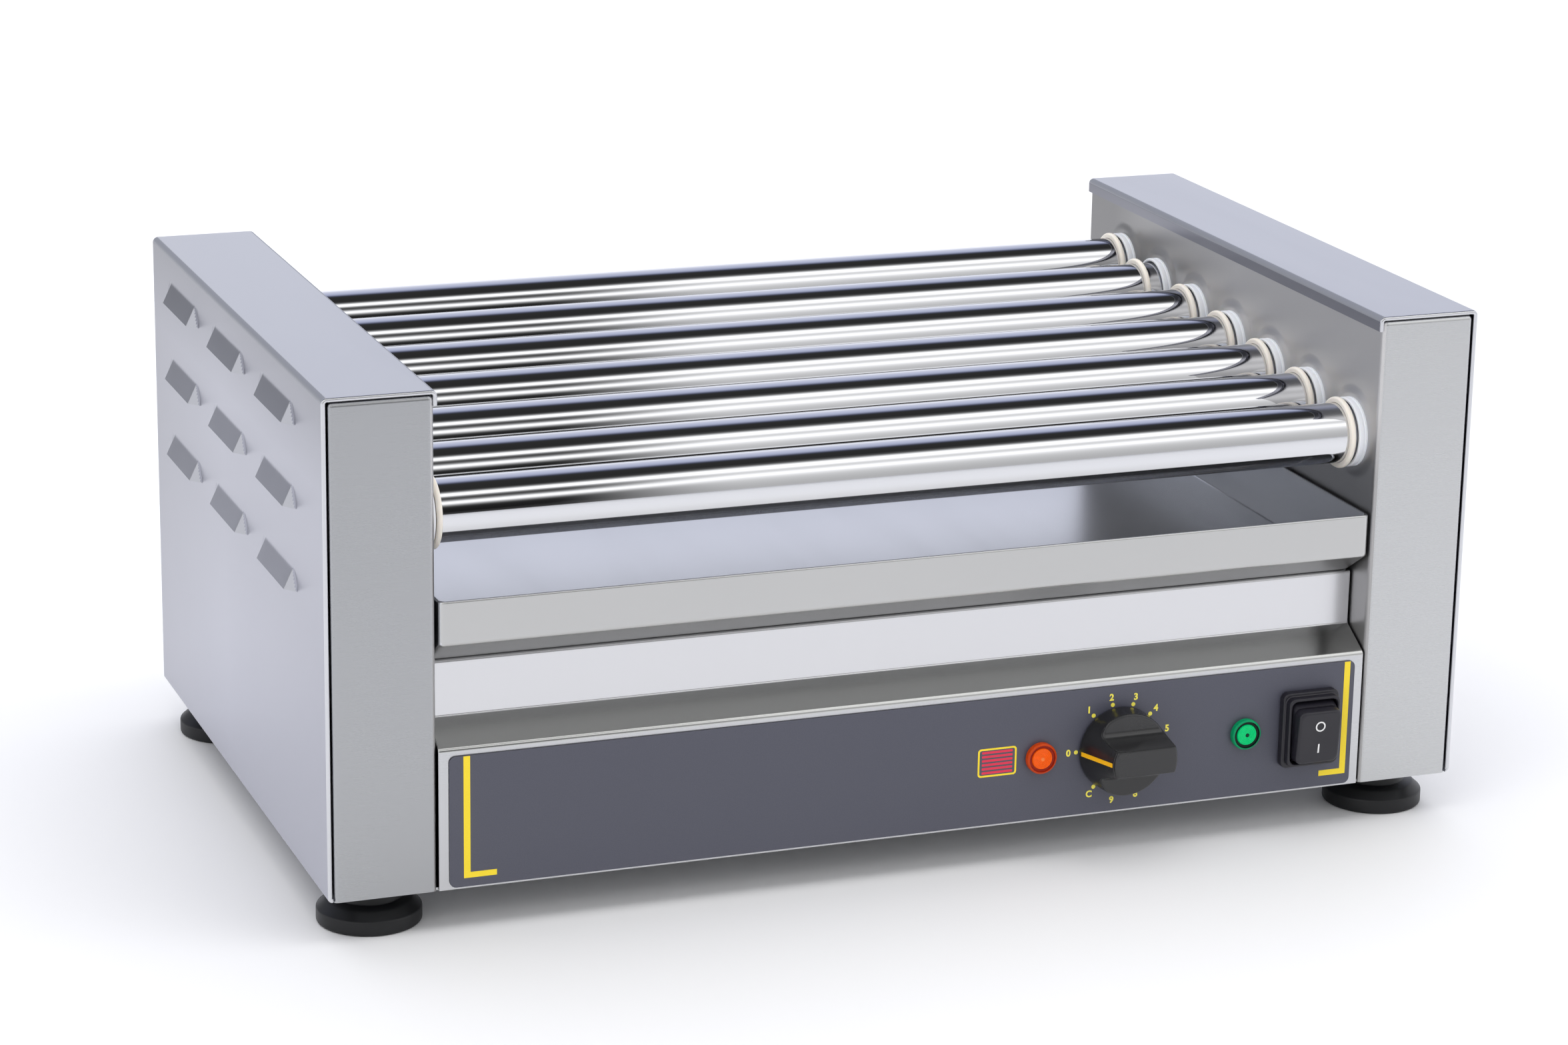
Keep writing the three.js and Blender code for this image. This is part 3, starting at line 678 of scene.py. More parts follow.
def cover_mesh(name):
    prof = bends([(264, BASE), (HALF_W, BASE), (HALF_W, TOP), (LIP_X, TOP), (LIP_X, LIP_Z)], SHEET, (2.2, COVER_BEND, COVER_BEND), 10)
    rows = (0, 0.45, 1.6, 3.0, 4.4, 5.8, 7.0, 7.9, 8.6, 9.1, 9.6, 10.3)
    zl = []
    for zt in LOUVRE_Z:
        zl += [zt - LOUVRE_H + r for r in rows] + [zt - LOUVRE_H - 0.002, zt - LOUVRE_H - 1.5]
    prof = with_lines(prof, 0, 1, HALF_W, zl)
    low = [k for k, (p, n) in enumerate(prof) if abs(p[0] - HALF_W) < 1e-6 and any(abs(p[1] - (zt - LOUVRE_H - 0.002)) < 1e-4 for zt in LOUVRE_Z)]
    yl = []
    for yc in LOUVRE_Y:
        half = LOUVRE_L / 2
        side = [half + LOUVRE_END * (1 - r / LOUVRE_H) for r in rows if r <= LOUVRE_H] + [half - 0.4, half, half + 0.3] + [half + LOUVRE_END + v for v in (0.8, 1.8, 2.8, 3.7)]
        yl += [yc + v for v in side] + [yc - v for v in side] + [yc + half * f for f in (-0.66, -0.33, 0, 0.33, 0.66)]
    yl = sorted(set(round(v, 4) for v in yl))
    ys = [yl[0]]
    for v in yl[1:]:
        if v - ys[-1] > 0.12:
            ys.append(v)
    HEM = 1.0
    st = rolled(-HALF_D, 1, HEM) + [(-154.6, 0, 2 * HEM), (-154.0, 0, SHEET), (-144, 0, SHEET)]
    st += [(v, 0, SHEET) for v in ys]
    st += [(144, 0, SHEET), (154.0, 0, SHEET), (154.6, 0, 2 * HEM)] + rolled(HALF_D, -1, HEM)[::-1]

    def is_open(a, b):
        m = (a + b) / 2
        return any(abs(m - yc) < LOUVRE_L / 2 + LOUVRE_END for yc in LOUVRE_Y)

    def push(p, y, k):
        if k in low or abs(p[0] - HALF_W) > 1e-6:
            return 0.0
        z = p[1]
        base = [zt - LOUVRE_H for zt in LOUVRE_Z]
        if any(abs(z - b) < 1e-3 for b in base):
            yc = min(LOUVRE_Y, key=lambda c: abs(c - y))
            over = abs(y - yc) - LOUVRE_L / 2
            return max(0.0, smin(LOUVRE_OUT, LOUVRE_OUT * (1 - over / LOUVRE_END), 0.25))
        return louvre_height(y, z)

    ob = sheet(name, prof, st, "y", push, (low, is_open))
    gone = [
        prism("cut_a", [(240, BASE - 1), (HALF_W - 2.1, BASE - 1), (HALF_W - 2.1, BASE + 4), (240, BASE + 4)], "y", *yy)
        for yy in ((-HALF_D - 1, -144), (144, HALF_D + 1))
    ]
    cut(ob, *gone)
    return ob


cover_r = cover_mesh("cover_right")
smooth(cover_r, 34, weighted=True)
slots(cover_r, STEEL_COVER, STEEL_COVER_LIT, STEEL_BEND, STEEL_HEM_LIT)
for f in cover_r.data.polygons:
    cx, cz = abs(f.center.x) / MM, f.center.z / MM
    # the rolled hems take the lighter copy of the steel: painted light
    if abs(f.center.y) > (HALF_D - 1.15) * MM:
        f.material_index = 3
        continue
    bent = cz > TOP - COVER_BEND - 0.1 and (cx > HALF_W - COVER_BEND - 0.1 or cx < LIP_X + COVER_BEND + 0.1)
    # slot 1: painted light on the top faces and a painted highlight on the louvres' end facets; slot 2 is the rougher
    # bend
    f.material_index = 2 if bent and abs(f.normal.y) < 0.3 and max(abs(f.normal.x), abs(f.normal.z)) < 0.995 else 1 if f.normal.z > 0.9 or (0.06 < abs(f.normal.y) < 0.8 and f.normal.x > 0.5 and cx > HALF_W + 0.3) else 0
cover_l = mirrored(cover_r, "cover_left")
for side, ob in (("right", cover_r), ("left", cover_l)):
    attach(ob, "casing")
    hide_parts(f"{side}_cover")

# --------------------------------------------------------------------------
# side frames: front panel, inner wall with its pressed collars, rear panel

COLLAR_IN, COLLAR_R, COLLAR_OUT = 17.2, 22.0, 1.05


def collar_height(y, z):
    total = 0.0
    for yc, zc in AX:
        d = math.hypot(y - yc, z - zc)
        if d > COLLAR_R:
            continue
        t = min(max((COLLAR_R - d) / (COLLAR_R - COLLAR_IN), 0.0), 1.0)
        h = COLLAR_OUT * t * t * (3 - 2 * t)
        total = smax(total, h, 0.4) if total > 0.01 and h > 0.01 else max(total, h)
    return total


def frame_mesh(name, shaft):
    out = PANEL_X + 0.5
    path = [(out, 146), (out, HALF_D), (WALL_X, HALF_D), (WALL_X, -HALF_D), (out, -HALF_D), (out, -146)]
    prof = bends(path, SHEET, (1.8, 2.6, 2.6, 1.8), 8)
    lines = [AX[0][0] - 24 + 1.1 * k for k in range(1 + int((AX[-1][0] - AX[0][0] + 48) / 1.1))]
    prof = with_lines(prof, 0, 1, WALL_X, [v for v in lines if abs(v) < HALF_D - 2.7])
    zs = [AX[0][1] - 23 + 1.1 * k for k in range(1 + int((AX[-1][1] - AX[0][1] + 46) / 1.1))]
    st = [(BASE, 0.0, BASE, SHEET)] + [(v, 0, SHEET) for v in zs if v < PANEL_TOP - 3]
    R, top = 2.1, PANEL_TOP - 0.35
    for k in range(7):
        a = math.pi / 2 * k / 6
        st.append((top - R + R * math.sin(a), R - R * math.cos(a), top - R + (R - SHEET) * math.sin(a), R - (R - SHEET) * math.cos(a)))

    def push(p, z, k):
        return collar_height(p[1], z) if abs(p[0] - WALL_X) < 1e-6 else 0.0

    ob = sheet(name, prof, st, "z", push)
    cuts = [lathe("c", [(0, 218), (15.65, 218), (15.65, 229), (0, 229)], "x", c, 64) for c in AX]
    cuts.append(prism("c", [(200, -158.95), (262.9, -158.95), (262.9, 158.95), (200, 158.95)], "z", BASE - 1, BASE + 1.5))
    if shaft:
        cuts.append(lathe("c", [(0, 218), (13, 218), (13, 229), (0, 229)], "x", (-8, 72), 48))
    return cut(ob, *cuts)


for side in ("right", "left"):
    ob = frame_mesh("side_frame_" + side, side == "left")
    if side == "left":
        ob.data.transform(Matrix.Scale(-1, 4, (1, 0, 0)))
        ob.data.flip_normals()
    smooth(ob, 34)
    # the left frame's outer faces take the darker copy of the steel: painted shade
    slots(ob, STEEL_X if side == "right" else STEEL_X_SHADED_LEFT, STEEL_WALL)
    for f in ob.data.polygons:
        f.material_index = 1 if abs(f.center.x) < (WALL_X + 1.5) * MM else 0
    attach(ob, "casing")
    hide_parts(side + "_side_frame")

# --------------------------------------------------------------------------
# console

KNOB_AT, AMBER_AT, GREEN_AT, SWITCH_AT = (98.8, 51.3), (59.6, 51.0), (162.6, 51.5), (194.5, 51.5)
CONSOLE_X = 223.1


def control_holes():
    out = [
        lathe("c", [(0, -165), (r, -165), (r, -150), (0, -150)], "y", at, 40)
        for at, r in ((KNOB_AT, 5.5), (AMBER_AT, 6.4), (GREEN_AT, 6.4))
    ]
    x, z = SWITCH_AT
    out.append(prism("c", [(x - 13, z - 16.6), (x + 13, z - 16.6), (x + 13, z + 16.6), (x - 13, z + 16.6)], "y", -165, -150))
    return out


path = [(-118, 120), (-143.4, 120), (-143.4, 94), (-160.2, 84.5), (-160.2, BASE)]
st = rolled(-CONSOLE_X, 1, 0.6, 4) + [(-CONSOLE_X + 3, 0, SHEET), (CONSOLE_X - 3, 0, SHEET)] + rolled(CONSOLE_X, -1, 0.6, 4)[::-1]
fascia = sheet("fascia", bends(path, SHEET, (2.0, 2.4, 2.4), 8), st, "x")
cut(fascia, *control_holes())
smooth(fascia, 30)
slots(fascia, STEEL_RIM_LIT, STEEL_Z, STEEL_SLOPE)
for f in fascia.data.polygons:
    # slot 0, the front face, takes the lighter copy of the steel: painted light
    f.material_index = 1 if f.center.z > 93.2 * MM else 2 if f.center.z > 82.2 * MM else 0
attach(fascia, "casing")
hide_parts("front_fascia")

PLATE_BACK, PLATE_FRONT = -160.5, -161.1
plate = prism("faceplate", round_rect(0, 51.1, 218.5, 30.1, 3, 8), "y", PLATE_FRONT, PLATE_BACK)
cut(plate, *control_holes())
smooth(plate, 30, bevel=0.12, angle=60, segments=2)
paint(plate, FACE)
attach(plate, "casing")
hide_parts("control_faceplate")

# --------------------------------------------------------------------------
# printing on the faceplate

INK = 0.05


def flat_shape(pts, y=PLATE_FRONT, t=INK):
    return prism("ink", pts, "y", y - t, y + 0.02)


def band_ring(outer, inner, y=PLATE_FRONT, t=INK):
    n = len(outer)
    verts = []
    for yy in (y - t, y + 0.02):
        verts += [(p[0], yy, p[1]) for p in outer] + [(p[0], yy, p[1]) for p in inner]
    faces = []
    for k in range(n):
        k2 = (k + 1) % n
        faces += [(k, k2, n + k2, n + k), (2 * n + k, 3 * n + k, 3 * n + k2, 2 * n + k2)]
        faces += [(k, 2 * n + k, 2 * n + k2, k2), (n + k, n + k2, 3 * n + k2, 3 * n + k)]
    return mesh("ink", verts, faces)


def glyph(text, at, height, y=PLATE_FRONT, t=INK, bold=0.0):
    """Text as a thin mesh, centred on a point of the front plane."""
    cu = bpy.data.curves.new("glyph", "FONT")
    cu.body = text
    cu.size = height / 0.70 * MM
    cu.align_x = "CENTER"
    cu.align_y = "CENTER"
    cu.extrude = t * MM
    cu.offset = bold * MM
    cu.resolution_u = 6
    ob = link("glyph", cu)
    dg = bpy.context.evaluated_depsgraph_get()
    me = bpy.data.meshes.new_from_object(ob.evaluated_get(dg))
    bpy.data.objects.remove(ob)
    co = np.zeros(len(me.vertices) * 3)
    me.vertices.foreach_get("co", co)
    co = co.reshape(-1, 3)
    co -= (co.max(0) + co.min(0)) / 2
    out = np.zeros_like(co)
    out[:, 0] = co[:, 0] + at[0] * MM
    out[:, 1] = y * MM - co[:, 2]
    out[:, 2] = co[:, 1] + at[1] * MM
    me.vertices.foreach_set("co", out.ravel())
    me.update()
    bm = bmesh.new()
    bm.from_mesh(me)
    bmesh.ops.remove_doubles(bm, verts=bm.verts, dist=1e-7)
    bmesh.ops.recalc_face_normals(bm, faces=bm.faces)
    bm.to_mesh(me)
    bm.free()
    return link("ink", me)


marks, dial = [], []
kx, kz = KNOB_AT
for d in range(10):
    a = math.radians(180 if d == 0 else 156 - 28 * d)
    dial.append(glyph(str(d), (kx + 25.1 * math.cos(a), kz + 25.1 * math.sin(a)), 3.05, bold=0.16))
a = math.radians(-124)
dial.append(glyph("C", (kx + 25.2 * math.cos(a), kz + 25.2 * math.sin(a)), 3.05, bold=0.16))
for d in range(11):
    a = math.radians(180 if d == 0 else 156 - 28 * d)
    dial.append(flat_shape([(kx + 21.3 * math.cos(a) + math.cos(b), kz + 21.3 * math.sin(a) + math.sin(b)) for b in np.linspace(0, 2 * math.pi, 25)[:-1]]))
# corner brackets at both ends
marks.append(flat_shape([(-212.2, 81.0), (-212.2, 25.0), (-197.3, 25.0), (-197.3, 27.6), (-209.2, 27.6), (-209.2, 81.0)]))
marks.append(flat_shape([(216.1, 81.0), (216.1, 26.0), (202.4, 26.0), (202.4, 28.7), (213.1, 28.7), (213.1, 81.0)]))
# heating sign: a rounded frame round six bars
fx0, fx1, fz0, fz1 = 29.0, 48.0, 44.2, 57.8
fc = ((fx0 + fx1) / 2, (fz0 + fz1) / 2)
fw, fh = (fx1 - fx0) / 2, (fz1 - fz0) / 2
marks.append(band_ring(round_rect(*fc, fw, fh, 1.6, 6), round_rect(*fc, fw - 0.85, fh - 0.85, 0.9, 6)))
yellow = join("print_yellow", *marks)
paint(yellow, YELLOW)
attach(yellow, "casing")
dial = join("print_dial", *dial)
paint(dial, DIGITS)
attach(dial, "casing")
bars = []
for k in range(6):
    bars.append(flat_shape(round_rect(fc[0], fc[1] + (k - 2.5) * 1.93, 7.5, 0.55, 0.22, 3)))
red = join("print_red", *bars)
paint(red, RED)
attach(red, "casing")

# --------------------------------------------------------------------------
# drip tray

TRAY_X, TRAY_FLOOR, TRAY_TOP, TRAY_REAR = 222.5, 120.4, 151.0, 156.0


def tray_mesh():
    R = 2.0

    def inset(z):
        d = z - TRAY_FLOOR
        return 0.0 if d >= R else R - math.sqrt(max(R * R - (R - d) ** 2, 0.0))

    def loop(yf, z, ins, rc, steps=8):
        pts = []
        x0, y0, y1 = TRAY_X - ins, yf, TRAY_REAR - ins
        for sx, yc, a0 in ((1, y1 - rc, 0), (-1, y1 - rc, 90), (-1, y0 + rc, 180), (1, y0 + rc, 270)):
            for k in range(steps + 1):
                a = math.radians(a0 + 90 * k / steps)
                pts.append((sx * (x0 - rc) + rc * math.cos(a), yc + rc * math.sin(a), z))
        return pts

    t = 1.0
    prof = bends([(-160.2, TRAY_TOP - 1.0), (-160.2, 131.3), (-143.9, TRAY_FLOOR), (-120, TRAY_FLOOR)], t, (2.6, 3.0), 7)
    front = [(p, n) for p, n in prof if p[0] < -140]
    loops = [loop(p[0], p[1], inset(p[1]), 3.0) for p, n in front[::-1]]
    first = front[-1][0]
    loops.insert(0, loop(first[0] + 4, TRAY_FLOOR, R + 3, 3.0))
    hem = 0.8
    for k in range(1, 8):
        a = math.pi * k / 8
        loops.append(loop(-160.2 + hem * (1 - math.cos(a)), TRAY_TOP - 1.0 + 1.0 * math.sin(a), hem * (1 - math.cos(a)), 3.0))
    loops.append(loop(-160.2 + 2 * hem, TRAY_TOP - 1.0, 2 * hem, 3.0))
    loops.append(loop(-160.2 + 2 * hem, TRAY_TOP - 8.0, 2 * hem, 3.0))
    loops.append(loop(-160.2 + t, TRAY_TOP - 8.3, t, 3.0))
    inner = [(p, n) for p, n in front if p[1] < TRAY_TOP - 8.5]
    for p, n in inner:
        q = (p[0] + n[0] * t, p[1] + n[1] * t)
        loops.append(loop(q[0], q[1], inset(p[1]) + t * (1 if p[1] > TRAY_FLOOR + R else 0.9), 3.0))
    loops.append(loop(first[0] + 4, TRAY_FLOOR + t, R + 3, 3.0))
    return rings("tray", loops)


tray = tray_mesh()
smooth(tray, 34)
slots(tray, STEEL_TRAY, STEEL_TRAY_FRONT, STEEL_TRAY_SHADED)
for f in tray.data.polygons:
    # slot 2 is painted shade on the faces turned down, and on the inner face of the front wall
    f.material_index = 1 if f.normal.y < -0.7 and f.center.y < -0.1595 else 2 if f.normal.z < -0.3 or (f.normal.y > 0.4 and f.center.y < -0.14) else 0
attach(tray, "tray")
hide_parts("drip_tray")

# --------------------------------------------------------------------------
# rollers, rings and bushes

SEGS = 128
for i, (yc, zc) in enumerate(AX):
    n = i + 1
    ro, ri, c = ROLLER_R, 12.8, 0.35
    prof = [(ri, R_LEFT + c), (ri + c, R_LEFT), (ro - c, R_LEFT), (ro, R_LEFT + c)]
    prof += [(ro, x) for x in (-230, -150, -50, 50, 150, 225)]
    prof += [(ro, R_RIGHT - c), (ro - c, R_RIGHT), (ri + c, R_RIGHT), (ri, R_RIGHT - c)]
    tube = lathe(f"tube_{n}", prof, "x", (yc, zc), SEGS, closed=True)
    smooth(tube, 30)
    paint(tube, CHROME)
    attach(tube, f"roller_unit_{n}")
    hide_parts(f"roller_{n}")
    for side, sx in (("left", -1), ("right", 1)):
        # the soft ring that rides on the tube
        place = 219.5 if sx < 0 else 210.5 if n == 6 else 215.7
        prof = []
        hw, r0, r1, cr = 1.35, 14.03, 16.6, 1.15
        prof += [(r0, -hw + 0.2), (r0 + 0.2, -hw)]
        prof += [(r1 - cr + cr * math.sin(a), -hw + cr - cr * math.cos(a)) for a in np.linspace(0, math.pi / 2, 6)]
        prof += [(r1 - cr + cr * math.cos(a), hw - cr + cr * math.sin(a)) for a in np.linspace(0, math.pi / 2, 6)]
        prof += [(r0 + 0.2, hw), (r0, hw - 0.2)]
        ring = lathe(f"silicone_ring_{side}_{n}", [(r, sx * place + h) for r, h in prof], "x", (yc, zc), 96, closed=True)
        smooth(ring, 40)
        paint(ring, SILICONE)
        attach(ring, f"roller_unit_{n}")
        # the bush in the wall: flange with a groove, and a sleeve through the wall
        b0, fl, sl, f0, f1, tail = 14.7, 16.2, 15.3, 218.6, 223.5, 229.0
        e = 0.35
        if sx < 0:
            f0 = 221.25
        bp = [(b0 + e, f0)] + [(fl - 0.7 + 0.7 * math.sin(a), f0 + 0.7 - 0.7 * math.cos(a)) for a in np.linspace(0, math.pi / 2, 6)]
        if sx > 0:
            bp += [(fl, f0 + 2.2), (fl - 0.45, f0 + 2.5), (fl - 0.45, f0 + 3.0), (fl, f0 + 3.3)]
        bp += [(fl, f1 - 0.2), (fl - 0.2, f1)]
        bp += [(sl, f1), (sl, tail - e), (sl - e, tail), (b0 + 0.1, tail), (b0, tail - 0.1), (b0, f0 + e)]
        bush = lathe(f"wall_bush_{side}_{n}", [(r, sx * h) for r, h in bp], "x", (yc, zc), 96, closed=True)
        smooth(bush, 34)
        paint(bush, PTFE)
        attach(bush, "casing")
        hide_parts(f"bush_{side}_{n}")

# --------------------------------------------------------------------------
# feet

for end, sy in (("front", -1), ("rear", 1)):
    for side, sx in (("left", -1), ("right", 1)):
        prof = [(0.01, 0.25), (18.5, 0.25), (18.9, 0.0), (21.9, 0.0)]
        prof += [(22.0 + 1.3 * math.sin(a), 1.3 - 1.3 * math.cos(a)) for a in np.linspace(0.15, math.pi / 2, 6)]
        prof += [(23.3, 6.0)] + [(22.0 + 1.3 * math.cos(a), 6.0 + 1.3 * math.sin(a)) for a in np.linspace(0.3, 1.2, 5)]
        prof += [(19.6, 9.9), (18.6, 10.6), (16.4, 11.1), (14.9, 11.5), (14.4, 12.3), (14.1, 14.0), (13.9, 18.6), (13.3, 19.5), (12.8, 19.7)]
        prof += [(4.2, 19.7), (4.2, 31.6), (3.8, 32.0), (0.01, 32.0)]
        foot = lathe(f"rubber_foot_{end}_{side}", prof, "z", (sx * 247.0, sy * 132.0), 96)
        smooth(foot, 32)
        paint(foot, FOOT)
        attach(foot, "casing")
        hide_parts(f"foot_{end}_{side}")

# --------------------------------------------------------------------------
# knob

KNOB_R, KNOB_H, KNOB_ROUND = 20.0, 23.0, 1.1


def knob_slope(u, v):
    """How far the knob's side comes in from its back edge to its top, which is most on the pointer's side."""
    r = math.hypot(u, v) + 1e-9
    t = min(max((u / r + 0.90) / 0.42, 0.0), 1.0)
    t = t * t * (3 - 2 * t)
    return 7.6 + (0.9 - 7.6) * t


def knob_side(u, v):
    return 2.0 + (KNOB_R - math.hypot(u, v)) / knob_slope(u, v) * (KNOB_H - 2.0)


def knob_face(u, v):
    """The grip bar across the middle and the two low lobes beside it."""
    w = 1 + (6.1 - abs(v)) / 6.6
    bar = 10.6 + (KNOB_H - 10.6) * max(w, 0.0) ** 2.5
    return smin(bar, KNOB_H - 0.0012 * (u * u + v * v), 1.6)


def knob_height(u, v):
    """Height of the knob above its back plane."""
    h = knob_face(u, v)
    rim = KNOB_R - knob_slope(u, v) * (h - 2.0) / (KNOB_H - 2.0)
    d = rim - math.hypot(u, v)
    if d < KNOB_ROUND:
        x = min(KNOB_ROUND - max(d, 0.0), KNOB_ROUND)
        h -= KNOB_ROUND - math.sqrt(max(KNOB_ROUND**2 - x * x, 0.0))
    return min(h, knob_side(u, v)) if d < 0 else h


def knob_rim(v, sign):
    """Where a row of the knob's face meets its side."""
    a, b = 0.0, math.sqrt(KNOB_R**2 - v * v)
    for _ in range(40):
        m = (a + b) / 2
        if knob_side(sign * m, v) > knob_face(sign * m, v) - KNOB_ROUND * 0.9:
            a = m
        else:
            b = m
    return a


def knob_mesh():
    kx, kz = KNOB_AT
    v_end = KNOB_R - 0.9 * (10.6 - 2.0) / (KNOB_H - 2.0) - 0.01
    base = [v_end * math.sin(math.radians(a)) for a in np.linspace(-90, 90, 91)]
    extra = [s * v for s in (-1, 1) for v in (5.2, 5.5, 5.8, 6.0, 6.2, 6.4, 6.7, 7.0, 7.4, 7.8, 8.3, 8.8, 9.4, 10.0, 10.7)]
    vs = sorted(set(round(v, 4) for v in base + extra))
    keep = [vs[0]]
    for v in vs[1:]:
        if v - keep[-1] > 0.06 or v == vs[-1]:
            keep.append(v)
    vs = keep
    q = np.array([-1 + 2 * k / 110 for k in range(111)])
    us = np.sign(q) * (1 - (1 - np.abs(q)) ** 1.45)
    verts, faces, grid = [], [], []
    for v in vs[1:-1]:
        lo, hi = -knob_rim(v, -1), knob_rim(v, 1)
        row = []
        for t in us:
            u = (lo + hi) / 2 + (hi - lo) / 2 * float(t)
            row.append(len(verts))
            verts.append((kx + u, -161.6 - knob_height(u, v), kz + v))
        grid.append(row)
    poles = []
    for v in (vs[0], vs[-1]):
        poles.append(len(verts))
        verts.append((kx, -161.6 - (10.6 - KNOB_ROUND), kz + v))
    m = len(us)
    for j in range(len(grid) - 1):
        for k in range(m - 1):
            faces.append((grid[j][k], grid[j][k + 1], grid[j + 1][k + 1], grid[j + 1][k]))
    for k in range(m - 1):
        faces.append((poles[0], grid[0][k + 1], grid[0][k]))
        faces.append((poles[1], grid[-1][k], grid[-1][k + 1]))
    # the side, down to the back, and a recess for the spindle
    edge = [poles[0]] + [r[-1] for r in grid] + [poles[1]] + [r[0] for r in grid[::-1]]
    prev = edge
    for f in (0.75, 0.5, 0.25, 0.0):
        cur = []
        for e in edge:
            x, y, z = verts[e]
            u, v, top = x - kx, z - kz, -161.6 - y
            r = math.hypot(u, v)
            h = 2.0 + (top - 2.0) * f
            r2 = KNOB_R - knob_slope(u, v) * (h - 2.0) / (KNOB_H - 2.0)
            cur.append(len(verts))
            verts.append((kx + u / r * r2, -161.6 - h, kz + v / r * r2))
        n = len(edge)
        for k in range(n):
            faces.append((prev[k], prev[(k + 1) % n], cur[(k + 1) % n], cur[k]))
        prev = cur
    edge = prev
    for rr, hh in ((1.0, 0.5), (0.985, 0.0), (0.93, 0.0), (0.92, 1.6), (0.30, 1.6), (0.26, 0.4), (0.15, 0.4)):
        cur = []
        for e in edge:
            x, y, z = verts[e]
            cur.append(len(verts))
            verts.append((kx + (x - kx) * rr, -161.6 - hh, kz + (z - kz) * rr))
        n = len(edge)
        for k in range(n):
            faces.append((prev[k], prev[(k + 1) % n], cur[(k + 1) % n], cur[k]))
        prev = cur
    faces.append(tuple(prev))
    return mesh("knob", verts, faces, merge=1e-5)


knob = knob_mesh()
spindle = lathe("spindle", [(0.01, -164), (3.0, -164), (3.0, -142.4), (2.6, -142), (0.01, -142)], "y", KNOB_AT, 32)
smooth(knob, 42)
smooth(spindle, 30)
slots(knob, KNOB)
slots(spindle, ZINC)
knob = join("knob", knob, spindle)
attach(knob, "knob")
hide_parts("control_knob")

# the pointer, inlaid in the knob's slope
pv, pf = [], []
us = np.linspace(-19.85, -13.0, 16)
for u in us:
    for lift in (0.1, -0.3):
        for v in (-1.0, 1.0):
            r = math.hypot(u, v)
            rise = (KNOB_H - 2.0) / 7.6
            length = math.hypot(1, rise)
            k = (r + lift * rise / length) / r
            h = 2.0 + (KNOB_R - r) * rise + lift / length
            pv.append((KNOB_AT[0] + u * k, -161.6 - h, KNOB_AT[1] + v * k))
for k in range(len(us) - 1):
    a, b = 4 * k, 4 * k + 4
    pf += [(a, a + 1, b + 1, b), (a + 2, b + 2, b + 3, a + 3), (a, b, b + 2, a + 2), (a + 1, a + 3, b + 3, b + 1)]
pf += [(0, 2, 3, 1), (4 * len(us) - 4, 4 * len(us) - 3, 4 * len(us) - 1, 4 * len(us) - 2)]
pointer = mesh("knob_pointer", pv, pf)
smooth(pointer, 50)
paint(pointer, POINTER)
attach(pointer, "knob")

# --------------------------------------------------------------------------
# pilot lamps


def lens_material(name, base, glow):
    m = Mat(name, base, 0.24, 0.0, Coat_Weight=0.07, Coat_Roughness=0.08, Specular_IOR_Level=0.15)
    f = m.noise((700, 700, 700), 2.0, 0.5)
    m.to(m.tint(m.remap(f, 0.3, 0.7, 0, 1), scaled(base, 0.9), scaled(base, 1.08)), "Base Color")
    m.bump(f, 0.05, 0.00005)
    m.b.inputs["Emission Color"].default_value = (*base, 1)
    m.b.inputs["Emission Strength"].default_value = glow
    return m.m


AMBER = [
    lens_material("amber_rim", (0.50, 0.05, 0.004), 0.10), lens_material("amber_groove", (0.28, 0.014, 0.002), 0.04),
    lens_material("amber_lens", (0.74, 0.095, 0.004), 0.26), lens_material("amber_core", (0.72, 0.17, 0.04), 0.28),
]
GREEN = [
    lens_material("green_rim", (0.0, 0.26, 0.10), 0.12), lens_material("green_groove", (0.0, 0.012, 0.008), 0.0),
    lens_material("green_lens", (0.0, 0.50, 0.155), 0.24), lens_material("green_core", (0.0, 0.04, 0.02), 0.0),
]

for name, at, mats in (("amber", AMBER_AT, AMBER), ("green", GREEN_AT, GREEN)):
    front = PLATE_FRONT - 0.3
    prof = [(0.01, -136), (6.0, -136), (6.0, front), (7.1, front), (7.3, front - 0.2)]
    prof += [(7.3 - 0.9 * (1 - math.cos(a)), -163.4 - 1.0 * math.sin(a)) for a in np.linspace(0, math.pi / 2, 6)]
    prof += [(6.15, -164.3), (5.95, -163.75), (5.35, -163.66), (4.95, -163.6), (4.75, -164.15)]
    for k in range(5):
        r = 4.7 - 0.78 * k
        prof += [(r, -164.25 - 0.07 * k), (r - 0.2, -164.42 - 0.07 * k), (r - 0.5, -164.42 - 0.07 * k), (r - 0.62, -164.27 - 0.07 * k)]
    prof += [(0.9, -164.55), (0.7, -164.8), (0.4, -164.87), (0.01, -164.9)]
    lamp = lathe("lamp_" + name, prof, "y", at, 72)
    smooth(lamp, 30)
    slots(lamp, *mats)
    for f in lamp.data.polygons:
        r = math.hypot(f.center.x / MM - at[0], f.center.z / MM - at[1])
        ahead = f.center.y < -0.1633
        f.material_index = 3 if ahead and r < 1.0 else 2 if ahead and r < 4.9 else 1 if ahead and r < 6.5 else 0
    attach(lamp, "casing")
    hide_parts("pilot_lamp_" + name)

# --------------------------------------------------------------------------
# switch in its rubber boot

sx_, sz_ = SWITCH_AT


def rect_loop(y, hw, hh, r, steps=6):
    return [(p[0], y, p[1]) for p in round_rect(sx_, sz_, hw, hh, r, steps)]


